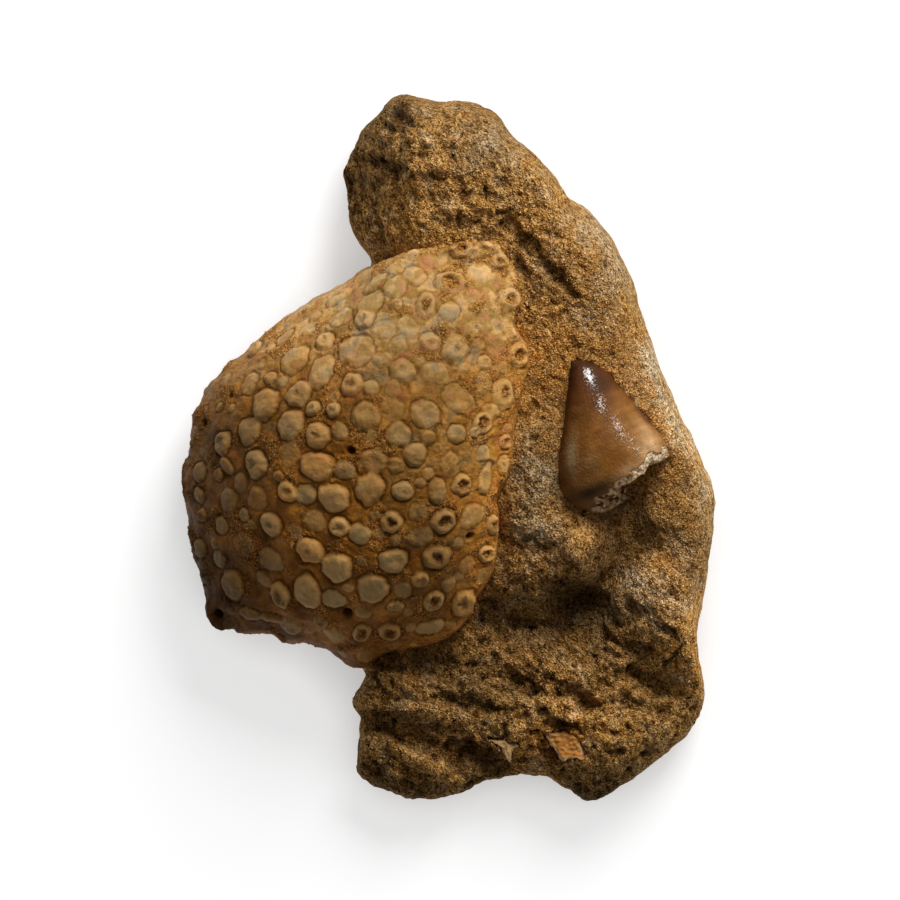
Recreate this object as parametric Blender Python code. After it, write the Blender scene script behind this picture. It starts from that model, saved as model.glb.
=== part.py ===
"""Fossil mosasaur tooth in its block of sandy matrix, beside a domed plate of button studs.

The specimen lies on the flat broken base of the block, seen from above: +X to the right, +Y to
the far end, +Z up, with the origin under the middle of the whole specimen. All driving
dimensions are millimetres. An outline is a smooth closed curve through its points, a top is the
smooth sheet through its heights, and a stud is a small disc, ring or pit raised from the plate.
"""

import math

import bmesh
import bpy
import numpy as np
from mathutils import Vector
from mathutils.geometry import delaunay_2d_cdt

METRES_PER_MM = 0.001
FULL_TURN = 2 * math.pi
# Edges between faces that meet at less than this are shaded smooth.
SMOOTH_BELOW = math.radians(40)
# Gap between pieces that touch, in millimetres.
CLEARANCE = 0.3

# Matrix block: its widest line seen from above, clockwise from the left notch above the plate.
BLOCK_CENTRE = (17.0, 0.0)
BLOCK_OUTLINE = (
    (-16.7, 38.8), (-20.1, 46.5), (-22.2, 56.0), (-21.6, 61.8), (-18.6, 67.8), (-14.4, 73.4),
    (-10.1, 75.2), (-4.1, 73.9), (3.3, 74.1), (9.0, 71.8), (12.4, 67.8), (19.3, 61.8),
    (25.6, 53.7), (32.0, 48.2), (36.3, 42.2), (41.0, 29.0), (43.9, 22.0), (48.6, 9.3),
    (54.4, -3.1), (56.9, -10.5), (56.9, -14.1), (55.6, -26.9), (53.3, -37.6), (53.3, -43.9),
    (54.8, -53.1), (53.1, -58.8), (48.6, -63.7), (40.5, -70.1), (34.6, -73.7), (29.9, -75.2),
    (25.2, -72.7), (21.4, -70.5), (16.1, -70.1), (10.3, -70.7), (1.2, -73.5), (-8.4, -74.4),
    (-14.8, -72.4), (-19.5, -69.5), (-19.7, -65.6), (-18.8, -61.0), (-20.1, -54.1),
    (-17.8, -48.2), (-22.2, -43.9), (-31.8, -38.8), (-44.6, -36.9), (-49.9, -34.4),
    (-53.1, -23.7), (-54.1, -11.0), (-52.4, -0.3), (-47.8, 10.3), (-38.2, 22.0), (-25.4, 31.6),
)
# Bearing from the centre in degrees, height of the widest line, width of the rounded shoulder
# above it, and how far in the base lies.
BLOCK_FLANK = (
    (-180, 5.0, 2.0, 2.5), (-145, 5.0, 2.0, 2.5), (-132, 8.0, 5.0, 4.0), (-115, 8.0, 7.0, 5.0),
    (-90, 8.0, 8.0, 5.0), (-60, 8.0, 9.0, 5.0), (-35, 11.0, 6.0, 5.0), (0, 13.0, 6.5, 5.0),
    (40, 13.0, 8.0, 5.0), (75, 14.0, 9.0, 5.0), (105, 14.0, 11.0, 5.0), (125, 13.0, 9.0, 5.0),
    (134, 8.0, 4.0, 4.0), (143, 5.0, 2.0, 2.5), (180, 5.0, 2.0, 2.5),
)
# Heights of the block's top: x, y, z.
BLOCK_TOP = (
    # upper lobe, with its steep left flank
    (4.4, 69.9, 38.0), (-2.0, 67.8, 38.5), (-8.4, 69.9, 35.0), (-12.7, 71.0, 27.5),
    (-18.0, 63.5, 21.0), (-10.1, 59.3, 36.0), (-13.8, 58.5, 28.0), (15.0, 57.1, 40.0),
    (10.7, 55.0, 41.0), (-4.1, 52.9, 38.5), (-9.6, 50.5, 35.5), (-14.5, 50.0, 25.0),
    (23.5, 50.0, 38.0), (29.9, 45.4, 35.5), (5.0, 47.5, 38.5), (-6.3, 44.5, 36.5),
    (-13.0, 42.0, 27.0), (34.0, 38.0, 35.5), (37.0, 30.0, 35.0),
    # gully beside the plate, under a ridge
    (13.5, 48.0, 38.5), (19.4, 43.4, 38.5), (24.9, 38.0, 38.0), (29.2, 32.2, 37.0),
    (12.2, 45.4, 36.5), (16.7, 40.5, 36.0), (21.6, 35.5, 35.8), (25.0, 31.0, 35.5),
    (17.1, 31.0, 34.5), (19.0, 25.5, 33.8),
    # sandy slope and the bed of the tooth
    (19.3, 14.6, 32.8), (18.2, 6.1, 33.0), (32.0, 23.1, 36.0), (37.0, 20.0, 35.5),
    (23.5, 10.3, 33.5), (32.0, 1.8, 34.0), (42.7, 10.3, 35.5), (47.0, 0.0, 34.5),
    (51.5, -9.0, 31.0), (38.5, -6.0, 31.5),
    # left of the tooth, falling to the plate, and the nose under it
    (17.1, -2.4, 35.0), (15.0, -11.0, 34.0), (20.3, -6.7, 34.5), (20.3, -15.2, 34.5),
    (13.3, -16.5, 31.5), (20.5, -22.0, 33.5), (13.5, -22.5, 29.0), (28.8, -17.3, 35.5),
    (31.3, -20.5, 35.3), (29.3, -25.0, 34.6), (27.0, -29.0, 31.5), (21.0, -29.8, 29.5),
    (14.5, -30.5, 27.5), (9.8, -29.5, 25.5),
    # foot of the cliff
    (26.5, -34.5, 20.0), (21.5, -35.5, 22.5), (15.0, -37.0, 20.0), (9.0, -38.5, 19.0),
    # valley right of the nose
    (39.0, -10.5, 28.0), (37.8, -15.2, 26.0), (36.8, -21.7, 25.0), (33.2, -27.0, 24.0),
    (31.0, -31.5, 21.0),
    # right mass and its diagonal cliff
    (44.0, -14.0, 31.5), (48.5, -19.5, 31.0), (44.8, -25.7, 31.0), (49.0, -31.1, 30.8),
    (40.5, -26.5, 29.5), (44.5, -34.0, 30.6), (50.0, -38.0, 30.2), (37.0, -30.0, 27.5),
    (37.5, -34.5, 27.0), (43.0, -38.0, 29.4), (34.5, -38.5, 22.5), (39.5, -42.0, 25.0),
    (45.8, -45.0, 24.5),
    # lower block, with its hollows and ridges
    (3.5, -42.0, 20.0), (15.0, -43.5, 21.5), (23.5, -42.5, 22.0), (32.0, -41.0, 22.0),
    (-6.3, -48.3, 20.5), (-11.5, -51.5, 20.0), (0.1, -53.0, 20.5), (10.7, -51.0, 19.0),
    (14.0, -56.0, 20.5), (21.4, -53.5, 21.0), (32.0, -53.5, 21.5), (38.5, -54.5, 20.5),
    (44.5, -49.8, 19.5), (50.0, -51.0, 19.0), (44.0, -57.0, 19.8), (-13.7, -58.3, 15.5),
    (-7.0, -59.0, 16.5), (-11.0, -54.6, 19.0), (-12.0, -65.0, 16.5), (-3.0, -66.0, 15.5),
    (1.5, -63.0, 13.5), (4.5, -67.5, 12.0), (9.7, -62.4, 17.5), (18.0, -62.5, 17.0),
    (23.5, -62.1, 18.5), (32.0, -65.5, 18.8), (29.0, -70.6, 15.5), (40.5, -63.1, 19.0),
    # bed of the plate
    (0.0, -20.0, 22.0), (0.0, 20.0, 24.0), (-30.0, 0.0, 16.0), (-45.0, -25.0, 14.0),
    (-35.0, 18.0, 14.0), (-28.0, -35.0, 14.0),
)
# Least height of the block's top over its widest line.
BLOCK_LEAST_RISE = 2.0
# Height and size of the lumps in the block's surface, and the height up to which they fade out.
BLOCK_LUMPS = ((1.0, 13.0), (0.6, 6.5))
BLOCK_LUMPS_FADE = 6.0
# Fineness of the block's surface: squares across its top, and rings down its flank. The squares
# are turned, so that their squeezed corners keep clear of the cliffs.
BLOCK_CELLS = 40
BLOCK_RINGS = 3
BLOCK_GRID_TURN = math.radians(35)

# Domed plate, bedded in the block: its edge seen from above, anticlockwise from the upper notch.
PLATE_CENTRE = (-20.0, 0.0)
PLATE_OUTLINE = (
    (-16.7, 38.8), (-22.2, 35.4), (-28.6, 32.0), (-36.1, 27.3), (-44.6, 20.1), (-50.5, 14.1),
    (-54.0, 7.8), (-55.4, 1.8), (-56.9, -6.8), (-55.9, -15.2), (-54.6, -22.7), (-52.4, -29.7),
    (-51.4, -36.1), (-49.8, -38.5), (-46.3, -38.4), (-44.6, -39.4), (-38.6, -39.3),
    (-34.6, -41.4), (-29.3, -41.8), (-24.4, -44.1), (-21.2, -46.7), (-18.0, -46.7),
    (-15.9, -45.0), (-12.7, -43.3), (-2.0, -41.2), (4.4, -36.1), (5.6, -32.5), (9.0, -26.9),
    (10.1, -22.0), (10.5, -14.1), (10.2, -10.4), (12.9, -4.6), (13.7, 3.5), (15.0, 10.2),
    (17.1, 19.9), (13.9, 26.3), (15.4, 32.7), (11.8, 41.8), (6.5, 44.6), (0.1, 43.1),
    (-8.4, 42.2),
)
PLATE_UNDERSIDE = 10.0
PLATE_EDGE_HEIGHT = 17.0
PLATE_SHOULDER = 9.0
# Where the edge lies in the block, its shoulder is narrower, and it sits this deep.
PLATE_BURIED_SHOULDER = 2.0
PLATE_BURIED_DEPTH = 0.8
PLATE_WALL_LEAN = 2.5
# Bearings from the plate's centre between which its edge lies in the block, and the stretch
# over which one kind of edge turns into the other.
PLATE_BURIED_FROM = math.radians(-83)
PLATE_BURIED_TO = math.radians(80)
PLATE_EDGE_BLEND = math.radians(9)
# Heights of the plate's dome: x, y, z.
PLATE_TOP = (
    (-12.7, 6.1, 50.0), (-21.2, 10.3, 49.0), (-4.1, -0.3, 48.0), (-10.5, 21.0, 47.0),
    (0.1, 21.0, 44.0), (6.5, 31.6, 39.0), (2.2, 40.1, 36.0), (10.7, 40.1, 34.0),
    (-10.5, 35.9, 40.0), (-25.4, 29.5, 36.0), (-31.8, 25.2, 35.0), (-40.3, 16.7, 34.0),
    (-46.7, 6.1, 31.0), (-51.0, -6.7, 27.0), (-51.0, -19.5, 25.0), (-47.8, -30.1, 23.0),
    (-38.2, -23.7, 33.0), (-40.3, -6.7, 38.0), (-31.8, 6.1, 44.0), (-29.7, -11.0, 43.0),
    (-27.6, -28.0, 36.0), (-33.9, -36.5, 27.0), (-21.2, -38.6, 29.0), (-10.5, -32.2, 36.0),
    (-2.0, -32.2, 34.0), (6.5, -23.7, 36.0), (8.6, -6.7, 39.0), (10.7, 6.1, 39.0),
    (11.8, 21.0, 37.0), (4.4, 6.1, 44.0), (0.1, -15.2, 43.0), (-14.8, -15.2, 45.0),
    (-10.5, -40.7, 27.0),
)

# Studs with a pit: x, y, half width, half length, turn in degrees, pit radius.
RINGS = (
    (2.4, 42.4, 2.6, 2.4, 0, 1.4), (-5.0, 30.3, 2.1, 2.8, -10, 1.1), (12.9, 31.6, 2.6, 2.6, 0, 1.3),
    (-4.1, 22.2, 2.4, 2.3, 0, 0.6), (14.6, 19.7, 2.8, 2.8, 0, 1.3), (7.3, 18.2, 1.7, 1.7, 0, 0.6),
    (1.2, 21.0, 3.0, 3.6, -20, 0.5), (-18.0, 27.3, 2.4, 2.3, 0, 0.7), (-26.3, 22.9, 2.3, 2.3, 0, 0.7),
    (-41.2, 21.2, 2.1, 2.1, 0, 0.7), (-31.8, 11.6, 3.0, 2.9, 0, 0.5), (-48.2, 1.2, 2.8, 2.6, 0, 0.8),
    (-20.7, 13.5, 2.6, 2.6, 0, 0.9), (-24.4, 8.0, 1.7, 1.7, 0, 0.5), (-27.8, 2.7, 2.9, 3.0, 0, 0.7),
    (-9.7, 16.5, 3.0, 2.6, -25, 0.6), (-41.0, -3.3, 3.1, 3.1, 0, 0.8), (-34.1, -9.0, 2.6, 2.3, -30, 0.7),
    (-37.8, -15.9, 2.8, 2.6, -20, 0.6), (-23.1, -16.5, 2.4, 2.3, 0, 0.7), (-29.5, -21.4, 3.2, 3.0, -30, 0.5),
    (-1.2, -15.4, 2.8, 2.8, 0, 1.4), (-2.7, -22.9, 3.1, 3.0, 0, 1.1), (-35.9, -31.2, 2.3, 3.4, 0, 0.9),
    (-18.6, -39.0, 2.0, 2.9, -15, 1.1), (-12.7, -38.8, 2.4, 2.8, 0, 1.3), (2.9, -32.7, 2.7, 3.5, -15, 0.9),
    (-11.4, 30.5, 1.4, 1.3, 0, 0.6), (-27.3, -36.5, 1.7, 1.7, 0, 0.9), (-11.4, -33.3, 1.8, 1.4, 0, 0.8),
    (-6.1, -27.6, 1.9, 1.8, -40, 0.8), (-3.3, -32.2, 2.2, 3.0, -25, 1.2), (-12.2, -15.4, 2.5, 2.4, 0, 1.1),
    (2.7, -7.8, 2.5, 2.4, 0, 1.5), (0.1, 35.2, 3.3, 2.6, 0, 1.8), (11.4, 11.6, 2.8, 3.1, 0, 1.3),
    (7.1, 5.4, 2.8, 2.4, 30, 1.6), (9.3, -16.1, 1.8, 2.1, 0, 1.1), (7.8, -22.2, 2.0, 2.0, 0, 1.1),
    (11.8, 1.4, 1.7, 1.7, 0, 0.8), (10.7, 39.7, 1.8, 1.7, 0, 0.9), (-48.8, -5.4, 1.6, 1.5, 0, 0.7),
    (-9.7, -9.0, 2.3, 2.2, 0, 0.4), (-52.4, -14.1, 1.6, 1.5, 0, 0.7), (-28.6, 8.4, 1.9, 1.8, 0, 0.5),
    (5.2, 3.3, 1.3, 1.3, 0, 0.8), (-23.3, 32.0, 3.4, 1.9, 20, 0.6),
)
# Studs with a closed top: x, y, half width, half length, turn in degrees, height.
BUTTONS = (
    (0.1, 29.0, 2.2, 2.1, 0, 0.8), (-7.3, 36.5, 2.4, 2.2, 0, 0.8), (-19.7, 20.7, 4.2, 3.6, -20, 1.0),
    (-15.9, 35.0, 3.3, 1.9, 10, 0.8), (-16.9, 31.0, 3.0, 2.6, 0, 0.4), (-22.9, 27.8, 2.8, 2.6, 0, 0.4),
    (-28.4, 28.0, 1.6, 1.4, 20, 0.6), (-11.4, 34.0, 2.5, 2.3, 0, 0.6), (-35.0, 23.5, 2.6, 1.9, 35, 0.8),
    (-32.9, 18.8, 3.5, 3.3, 0, 1.0), (-39.0, 9.3, 3.6, 3.6, 0, 1.1), (-33.5, 5.0, 3.4, 3.4, 0, 1.0),
    (-42.4, 3.5, 3.4, 3.2, 0, 0.7), (-42.4, 13.9, 2.7, 2.4, 40, 0.5), (-37.8, 15.0, 1.7, 1.6, 0, 0.6),
    (-48.8, 8.8, 1.4, 1.3, 0, 0.6), (-16.7, 12.7, 1.9, 1.8, 0, 0.7), (-27.1, 16.3, 2.9, 4.1, -15, 0.8),
    (-17.6, 6.7, 3.2, 3.1, 0, 1.0), (-10.7, 2.7, 2.8, 2.7, 0, 0.8), (-7.3, -1.4, 2.6, 2.6, 0, 0.8),
    (-5.2, 7.1, 3.2, 3.0, 0, 0.7), (2.2, 10.1, 4.1, 2.8, -20, 0.5), (1.6, 2.9, 2.1, 2.1, 0, 0.6),
    (8.6, 7.6, 2.1, 2.0, 0, 0.5), (14.0, 7.1, 1.4, 1.5, 0, 0.7), (-53.1, -5.0, 2.3, 2.4, 0, 0.9),
    (-47.1, -3.7, 2.6, 1.4, -20, 0.7), (-27.8, -3.7, 3.8, 3.1, -5, 1.0), (-21.8, -4.6, 2.4, 2.2, 0, 0.4),
    (-16.9, -8.6, 3.1, 3.6, -20, 1.0), (-30.3, -9.7, 2.6, 2.3, 0, 0.4), (-24.4, -10.5, 3.6, 3.2, 0, 0.9),
    (-23.7, -25.0, 3.4, 3.5, 0, 0.8), (-16.3, -29.7, 3.5, 3.9, -20, 1.0), (-11.8, -23.7, 3.2, 2.8, 10, 0.8),
    (-2.7, -8.8, 2.0, 2.8, 0, 0.7), (7.6, -6.3, 1.7, 3.6, -10, 0.7), (11.6, -3.5, 1.7, 2.3, 0, 0.6),
    (-46.1, -29.0, 3.0, 3.7, -10, 1.0), (-30.1, -30.3, 3.0, 4.5, 5, 1.0), (-42.4, -35.2, 2.6, 1.9, 0, 0.5),
    (-24.4, -31.8, 2.7, 2.6, 0, 0.3), (-4.1, -38.0, 3.2, 2.1, 20, 0.5), (-48.4, -16.3, 2.2, 2.1, 0, 0.4),
    (-53.1, -21.2, 2.1, 2.2, 0, 0.8), (-53.1, -9.9, 2.0, 1.9, 0, 0.8), (-43.5, -14.1, 1.6, 1.5, 0, 0.4),
    (-19.0, -18.0, 2.6, 2.4, 0, 0.3), (-38.0, -36.0, 2.4, 1.7, 0, 0.5), (-49.0, -23.5, 2.0, 2.2, 0, 0.5),
)
# Bare pits: x, y, radius.
PITS = (
    (-52.2, 5.6, 1.1), (-46.5, 11.4, 0.9), (-20.7, -0.5, 1.1), (-49.3, -35.2, 1.2),
    (4.4, -18.6, 1.0), (-21.6, -35.0, 1.2),
)
RING_HEIGHT = 1.0
PIT_DEPTH_PER_RADIUS = 1.1
BARE_PIT_DEPTH_PER_RADIUS = 1.6
# Shares of a stud's half width between which its edge falls to the dome, and of a pit's radius
# between which the pit's wall rises.
STUD_EDGE = (0.82, 1.10)
PIT_WALL = (0.3, 1.3)
# A button's middle stands above its height, and its top falls with the square of the reach.
BUTTON_CROWN = 1.35
BUTTON_CROWN_FALL = 0.45
# Moat round each stud: depth, and its reach and half width in stud half widths.
MOAT = (0.25, 1.18, 0.12)
# The relief fades out over this width along the plate's edge.
RELIEF_FADE = 1.5
# Fineness of the plate's surface: distance between its fill points, and the least room round a
# fill point, round a stud's point and along the edge.
PLATE_POINT_SPACING = 2.3
PLATE_FILL_ROOM = 1.9
PLATE_STUD_ROOM = 0.72
PLATE_EDGE_ROOM = 0.9
PLATE_STUD_RINGS = (1.10, 0.78)
PLATE_STUD_CORNERS = 8

# Tooth crown, lying on its side in the block: distance from the tip, sideways bend, half width.
TOOTH_TIP = (27.5, 19.1)
TOOTH_BEARING = math.radians(-67.6)
TOOTH_PROFILE = (
    (-0.5, -1.6, 0.5), (0.6, -0.8, 1.5), (1.5, -0.25, 2.55), (2.4, 0.0, 3.3), (4.5, 0.0, 4.45),
    (8.0, -0.2, 6.2), (12.0, -0.65, 8.0), (16.0, -1.35, 9.8), (20.0, -1.85, 11.4),
    (23.0, -1.9, 12.1), (26.0, -1.85, 12.25), (28.6, -1.45, 11.4), (30.2, -1.0, 10.2),
    (32.0, -0.6, 8.4),
)
TOOTH_LENGTH = 28.9
TOOTH_AXIS_HEIGHT_TIP = 34.3
TOOTH_AXIS_HEIGHT_BASE = 33.4
TOOTH_RISE_PER_WIDTH = 0.74
TOOTH_DEPTH_PER_WIDTH = 0.55
# The crest lies left of the middle by this share of the half width, at the tip and at the base.
TOOTH_CREST_SHIFT_TIP = 0.42
TOOTH_CREST_SHIFT_BASE = -0.18
# Broken base: longer on the left, shorter on the crest, undercut below, hollow in the middle, and
# jagged by waves round it with a count, a height and a phase.
TOOTH_BASE_SLANT = 2.8
TOOTH_BASE_BEVEL = 0.9
TOOTH_BASE_UNDERCUT = 2.5
TOOTH_BASE_HOLLOW = 1.0
TOOTH_BASE_JAGS = ((5, 0.35, 0.4), (9, 0.30, 2.1), (14, 0.25, 4.0))
# Fineness of the crown: lengthwise lines, and rings that lie closer together at the tip.
TOOTH_LINES = 28
TOOTH_RINGS = 12
TOOTH_RING_CROWDING = 1.3

# Two chips of bone in the lower edge of the block: outline from above, top height, depth.
CHIPS = {
    "bone_chip_pale": (
        ((7.7, -61.5), (12.0, -62.1), (15.6, -63.2), (13.6, -64.6), (13.0, -67.0), (11.4, -65.0),
         (10.6, -63.6)), 18.2, 4.0),
    "bone_chip_orange": (
        ((19.8, -61.0), (22.6, -60.2), (26.8, -60.5), (28.4, -63.6), (28.7, -66.6), (26.2, -66.2),
         (24.2, -66.9), (22.4, -64.4)), 19.4, 4.5),
}
# A chip's worn top edge, and its top and underside as shares of its outline.
CHIP_BEVEL = 0.5
CHIP_TOP_SHARE = 0.75
CHIP_UNDERSIDE_SHARE = 0.8


def remove_old_objects():
    for item in list(bpy.data.objects):
        bpy.data.objects.remove(item, do_unlink=True)


def closed_curve(points, steps=24):
    """Smooth closed curve through the points: a Catmull-Rom arc between each two of them."""
    here = np.asarray(points, float)
    before = np.roll(here, 1, axis=0)
    after = np.roll(here, -1, axis=0)
    beyond = np.roll(here, -2, axis=0)
    t = (np.arange(steps) / steps)[None, :, None]
    straight = (after - before)[:, None] * t
    bend = (2 * before - 5 * here + 4 * after - beyond)[:, None] * t**2
    twist = (3 * here - before - 3 * after + beyond)[:, None] * t**3
    return (here[:, None] + 0.5 * (straight + bend + twist)).reshape(-1, 2)


def edge_distance(outline, centre, bearings):
    """Distance from the centre to the smooth outline along each bearing."""
    offset = closed_curve(outline) - np.asarray(centre)
    bearing = np.arctan2(offset[:, 1], offset[:, 0])
    order = np.argsort(bearing)
    reach = np.hypot(offset[:, 0], offset[:, 1])
    return np.interp(bearings, bearing[order], reach[order], period=FULL_TURN)


def curve_through(stations, values, wanted):
    """Smooth curve through the values at the stations: cubic pieces that share their slopes."""
    slopes = np.gradient(values, stations)
    place = np.clip(np.searchsorted(stations, wanted) - 1, 0, len(stations) - 2)
    span = stations[place + 1] - stations[place]
    t = (wanted - stations[place]) / span
    from_here = (1 + 2 * t) * (1 - t)**2 * values[place] + t * (1 - t)**2 * span * slopes[place]
    to_next = t**2 * (3 - 2 * t) * values[place + 1] - t**2 * (1 - t) * span * slopes[place + 1]
    return from_here + to_next


def sheet_height(controls, x, y):
    """Height of the smooth sheet through the control points, a thin plate bent onto them.

    Each control adds its weight times d^2 log d, for the distance d to it, and a plane is added.
    """
    known = np.asarray(controls, float)
    count = len(known)

    def bend(x_from, y_from):
        square = (np.ravel(x_from)[:, None] - known[:, 0])**2
        square = square + (np.ravel(y_from)[:, None] - known[:, 1])**2
        return 0.5 * square * np.log(np.maximum(square, 1e-9))

    plane = np.column_stack((np.ones(count), known[:, :2]))
    system = np.block([[bend(known[:, 0], known[:, 1]), plane], [plane.T, np.zeros((3, 3))]])
    weights = np.linalg.solve(system, np.append(known[:, 2], np.zeros(3)))
    level = weights[count] + weights[count + 1] * np.ravel(x) + weights[count + 2] * np.ravel(y)
    return (bend(x, y) @ weights[:count] + level).reshape(np.shape(x))


def smooth_step(low, high, value):
    """Rise from 0 at low to 1 at high, level at both ends."""
    t = np.clip((value - low) / (high - low), 0.0, 1.0)
    return t * t * (3 - 2 * t)


def shoulder(inside, width):
    """Quarter round: 0 at the edge, 1 from the width inwards."""
    t = np.clip(inside / width, 0.0, 1.0)
    return np.sqrt(t * (2 - t))


def noise_directions():
    """Random unit vectors, one for each place in the noise's table."""
    random = np.random.default_rng(7)
    vectors = random.normal(size=(256, 3))
    return vectors / np.linalg.norm(vectors, axis=1)[:, None], random.permutation(256)


DIRECTIONS, SHUFFLE = noise_directions()


def noise(points, size):
    """Gradient noise from -1 to 1 with lumps of the given size: unit cubes with a random slope
    at each corner, eased into each other."""
    scaled = points / size
    cell = np.floor(scaled).astype(int)
    within = scaled - cell
    ease = within**3 * (within * (within * 6 - 15) + 10)
    total = np.zeros(len(points))
    for corner in np.ndindex(2, 2, 2):
        x, y, z = (cell + corner).T % 256
        slope = DIRECTIONS[SHUFFLE[(SHUFFLE[(SHUFFLE[x] + y) % 256] + z) % 256]]
        weight = np.prod(np.where(corner, ease, 1 - ease), axis=1)
        total += weight * np.sum(slope * (within - corner), axis=1)
    return 1.6 * total


def disc_grid(cells):
    """Square grid bent into a unit disc: reach from the centre and bearing of each point."""
    side = np.linspace(-1, 1, cells + 1)
    u, v = np.meshgrid(side, side)
    wide = np.abs(u) >= np.abs(v)
    main = np.where(wide, u, v)
    cross = np.where(wide, v, u)
    lean = (math.pi / 4) * cross / np.where(main == 0, 1, main)
    bearing = np.where(wide, lean, math.pi / 2 - lean) + np.where(main < 0, math.pi, 0)
    return np.abs(main).ravel(), bearing.ravel()


def grid_faces(cells):
    """Four-sided faces of a square grid, and the points of its border in order."""
    index = np.arange((cells + 1)**2).reshape(cells + 1, cells + 1)
    corners = (index[:-1, :-1], index[:-1, 1:], index[1:, 1:], index[1:, :-1])
    border = np.concatenate((index[0, :-1], index[:-1, -1], index[-1, :0:-1], index[:0:-1, 0]))
    return np.stack(corners, axis=-1).reshape(-1, 4), border


def band_faces(upper, lower):
    """Four-sided faces between two closed rings of as many points."""
    return np.stack((upper, lower, np.roll(lower, -1), np.roll(upper, -1)), axis=-1)


def add_object(name, points, faces, finish):
    """New object from points in millimetres, shaded smooth but for its sharp edges."""
    mesh = bpy.data.meshes.new(name)
    mesh.from_pydata((np.asarray(points) * METRES_PER_MM).tolist(), [], faces)
    mesh.shade_smooth()
    mesh.set_sharp_from_angle(angle=SMOOTH_BELOW)
    mesh.materials.append(finish)
    item = bpy.data.objects.new(name, mesh)
    bpy.context.collection.objects.link(item)
    return item


def add_finish(name, colour, roughness):
    finish = bpy.data.materials.new(name)
    finish.use_nodes = True
    shader = finish.node_tree.nodes["Principled BSDF"]
    shader.inputs["Base Color"].default_value = (*colour, 1.0)
    shader.inputs["Roughness"].default_value = roughness
    shader.inputs["Metallic"].default_value = 0.0
    return finish


def block_top(x, y, reach, bearing):
    """Top of the block: the sheet, rounded down to the widest line over the shoulder."""
    angles = np.radians([row[0] for row in BLOCK_FLANK])
    widest = np.interp(bearing, angles, [row[1] for row in BLOCK_FLANK], period=FULL_TURN)
    width = np.interp(bearing, angles, [row[2] for row in BLOCK_FLANK], period=FULL_TURN)
    inside = (1 - reach) * edge_distance(BLOCK_OUTLINE, BLOCK_CENTRE, bearing)
    sheet = np.maximum(sheet_height(BLOCK_TOP, x, y), widest + BLOCK_LEAST_RISE)
    return widest + (sheet - widest) * shoulder(inside, width)


def block_shape(cells, rings):
    """Points and faces of the block: its top, its flank down to the base, and the flat base."""
    reach, bearing = disc_grid(cells)
    bearing = bearing + BLOCK_GRID_TURN
    distance = reach * edge_distance(BLOCK_OUTLINE, BLOCK_CENTRE, bearing)
    x = BLOCK_CENTRE[0] + distance * np.cos(bearing)
    y = BLOCK_CENTRE[1] + distance * np.sin(bearing)
    top = np.column_stack((x, y, block_top(x, y, reach, bearing)))
    faces, border = grid_faces(cells)
    rim = top[border]
    rim_bearing = bearing[border]
    angles = np.radians([row[0] for row in BLOCK_FLANK])
    inset = np.interp(rim_bearing, angles, [row[3] for row in BLOCK_FLANK], period=FULL_TURN)
    inwards = -np.column_stack((np.cos(rim_bearing), np.sin(rim_bearing), np.zeros(len(rim))))
    points = [top]
    face_list = faces.tolist()
    upper = border
    for ring in range(1, rings + 1):
        drop = ring / rings
        level = rim + inwards * (inset * drop**1.5)[:, None]
        level[:, 2] = rim[:, 2] * (1 - drop)
        lower = np.arange(len(rim)) + sum(len(part) for part in points)
        points.append(level)
        face_list += band_faces(upper, lower).tolist()
        upper = lower
    face_list.append(upper[::-1].tolist())
    return np.concatenate(points), face_list


def point_normals(points, faces):
    """Outward direction at each point: the mean of the faces around it, weighted by area."""
    total = np.zeros_like(points)
    for face in faces:
        corners = points[face]
        area = np.sum(np.cross(corners, np.roll(corners, -1, axis=0)), axis=0)
        total[face] += area
    return total / np.linalg.norm(total, axis=1)[:, None]


def add_block(finish):
    """Matrix block with lumps of a few millimetres, flat underneath."""
    points, faces = block_shape(BLOCK_CELLS, BLOCK_RINGS)
    lumps = sum(height * noise(points, size) for height, size in BLOCK_LUMPS)
    free = smooth_step(0.0, BLOCK_LUMPS_FADE, points[:, 2])
    points = points + point_normals(points, faces) * (lumps * free)[:, None]
    return add_object("matrix_block", points, faces, finish)


def plate_buried(bearing):
    """1 where the plate's edge lies in the block, 0 where it is the specimen's own edge."""
    past_start = bearing - PLATE_BURIED_FROM
    past_stop = bearing - PLATE_BURIED_TO
    start = smooth_step(-PLATE_EDGE_BLEND, PLATE_EDGE_BLEND, past_start)
    stop = smooth_step(-PLATE_EDGE_BLEND, PLATE_EDGE_BLEND, past_stop)
    return start * (1 - stop)


def plate_edge_height(x, y, buried):
    """Height of the plate's edge: free on the left, just under the block's top on the right."""
    in_block = sheet_height(BLOCK_TOP, x, y) - PLATE_BURIED_DEPTH
    return PLATE_EDGE_HEIGHT + np.maximum(in_block - PLATE_EDGE_HEIGHT, 0) * buried


def plate_dome(x, y):
    """The plate's top without its studs, rounded down to its edge over the shoulder."""
    offset_x = x - PLATE_CENTRE[0]
    offset_y = y - PLATE_CENTRE[1]
    bearing = np.arctan2(offset_y, offset_x)
    reach = edge_distance(PLATE_OUTLINE, PLATE_CENTRE, bearing)
    buried = plate_buried(bearing)
    edge_x = PLATE_CENTRE[0] + reach * np.cos(bearing)
    edge_y = PLATE_CENTRE[1] + reach * np.sin(bearing)
    edge = plate_edge_height(edge_x, edge_y, buried)
    width = PLATE_SHOULDER + (PLATE_BURIED_SHOULDER - PLATE_SHOULDER) * buried
    inside = reach - np.hypot(offset_x, offset_y)
    sheet = np.maximum(sheet_height(PLATE_TOP, x, y), edge)
    return edge + (sheet - edge) * shoulder(inside, width)


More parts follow.
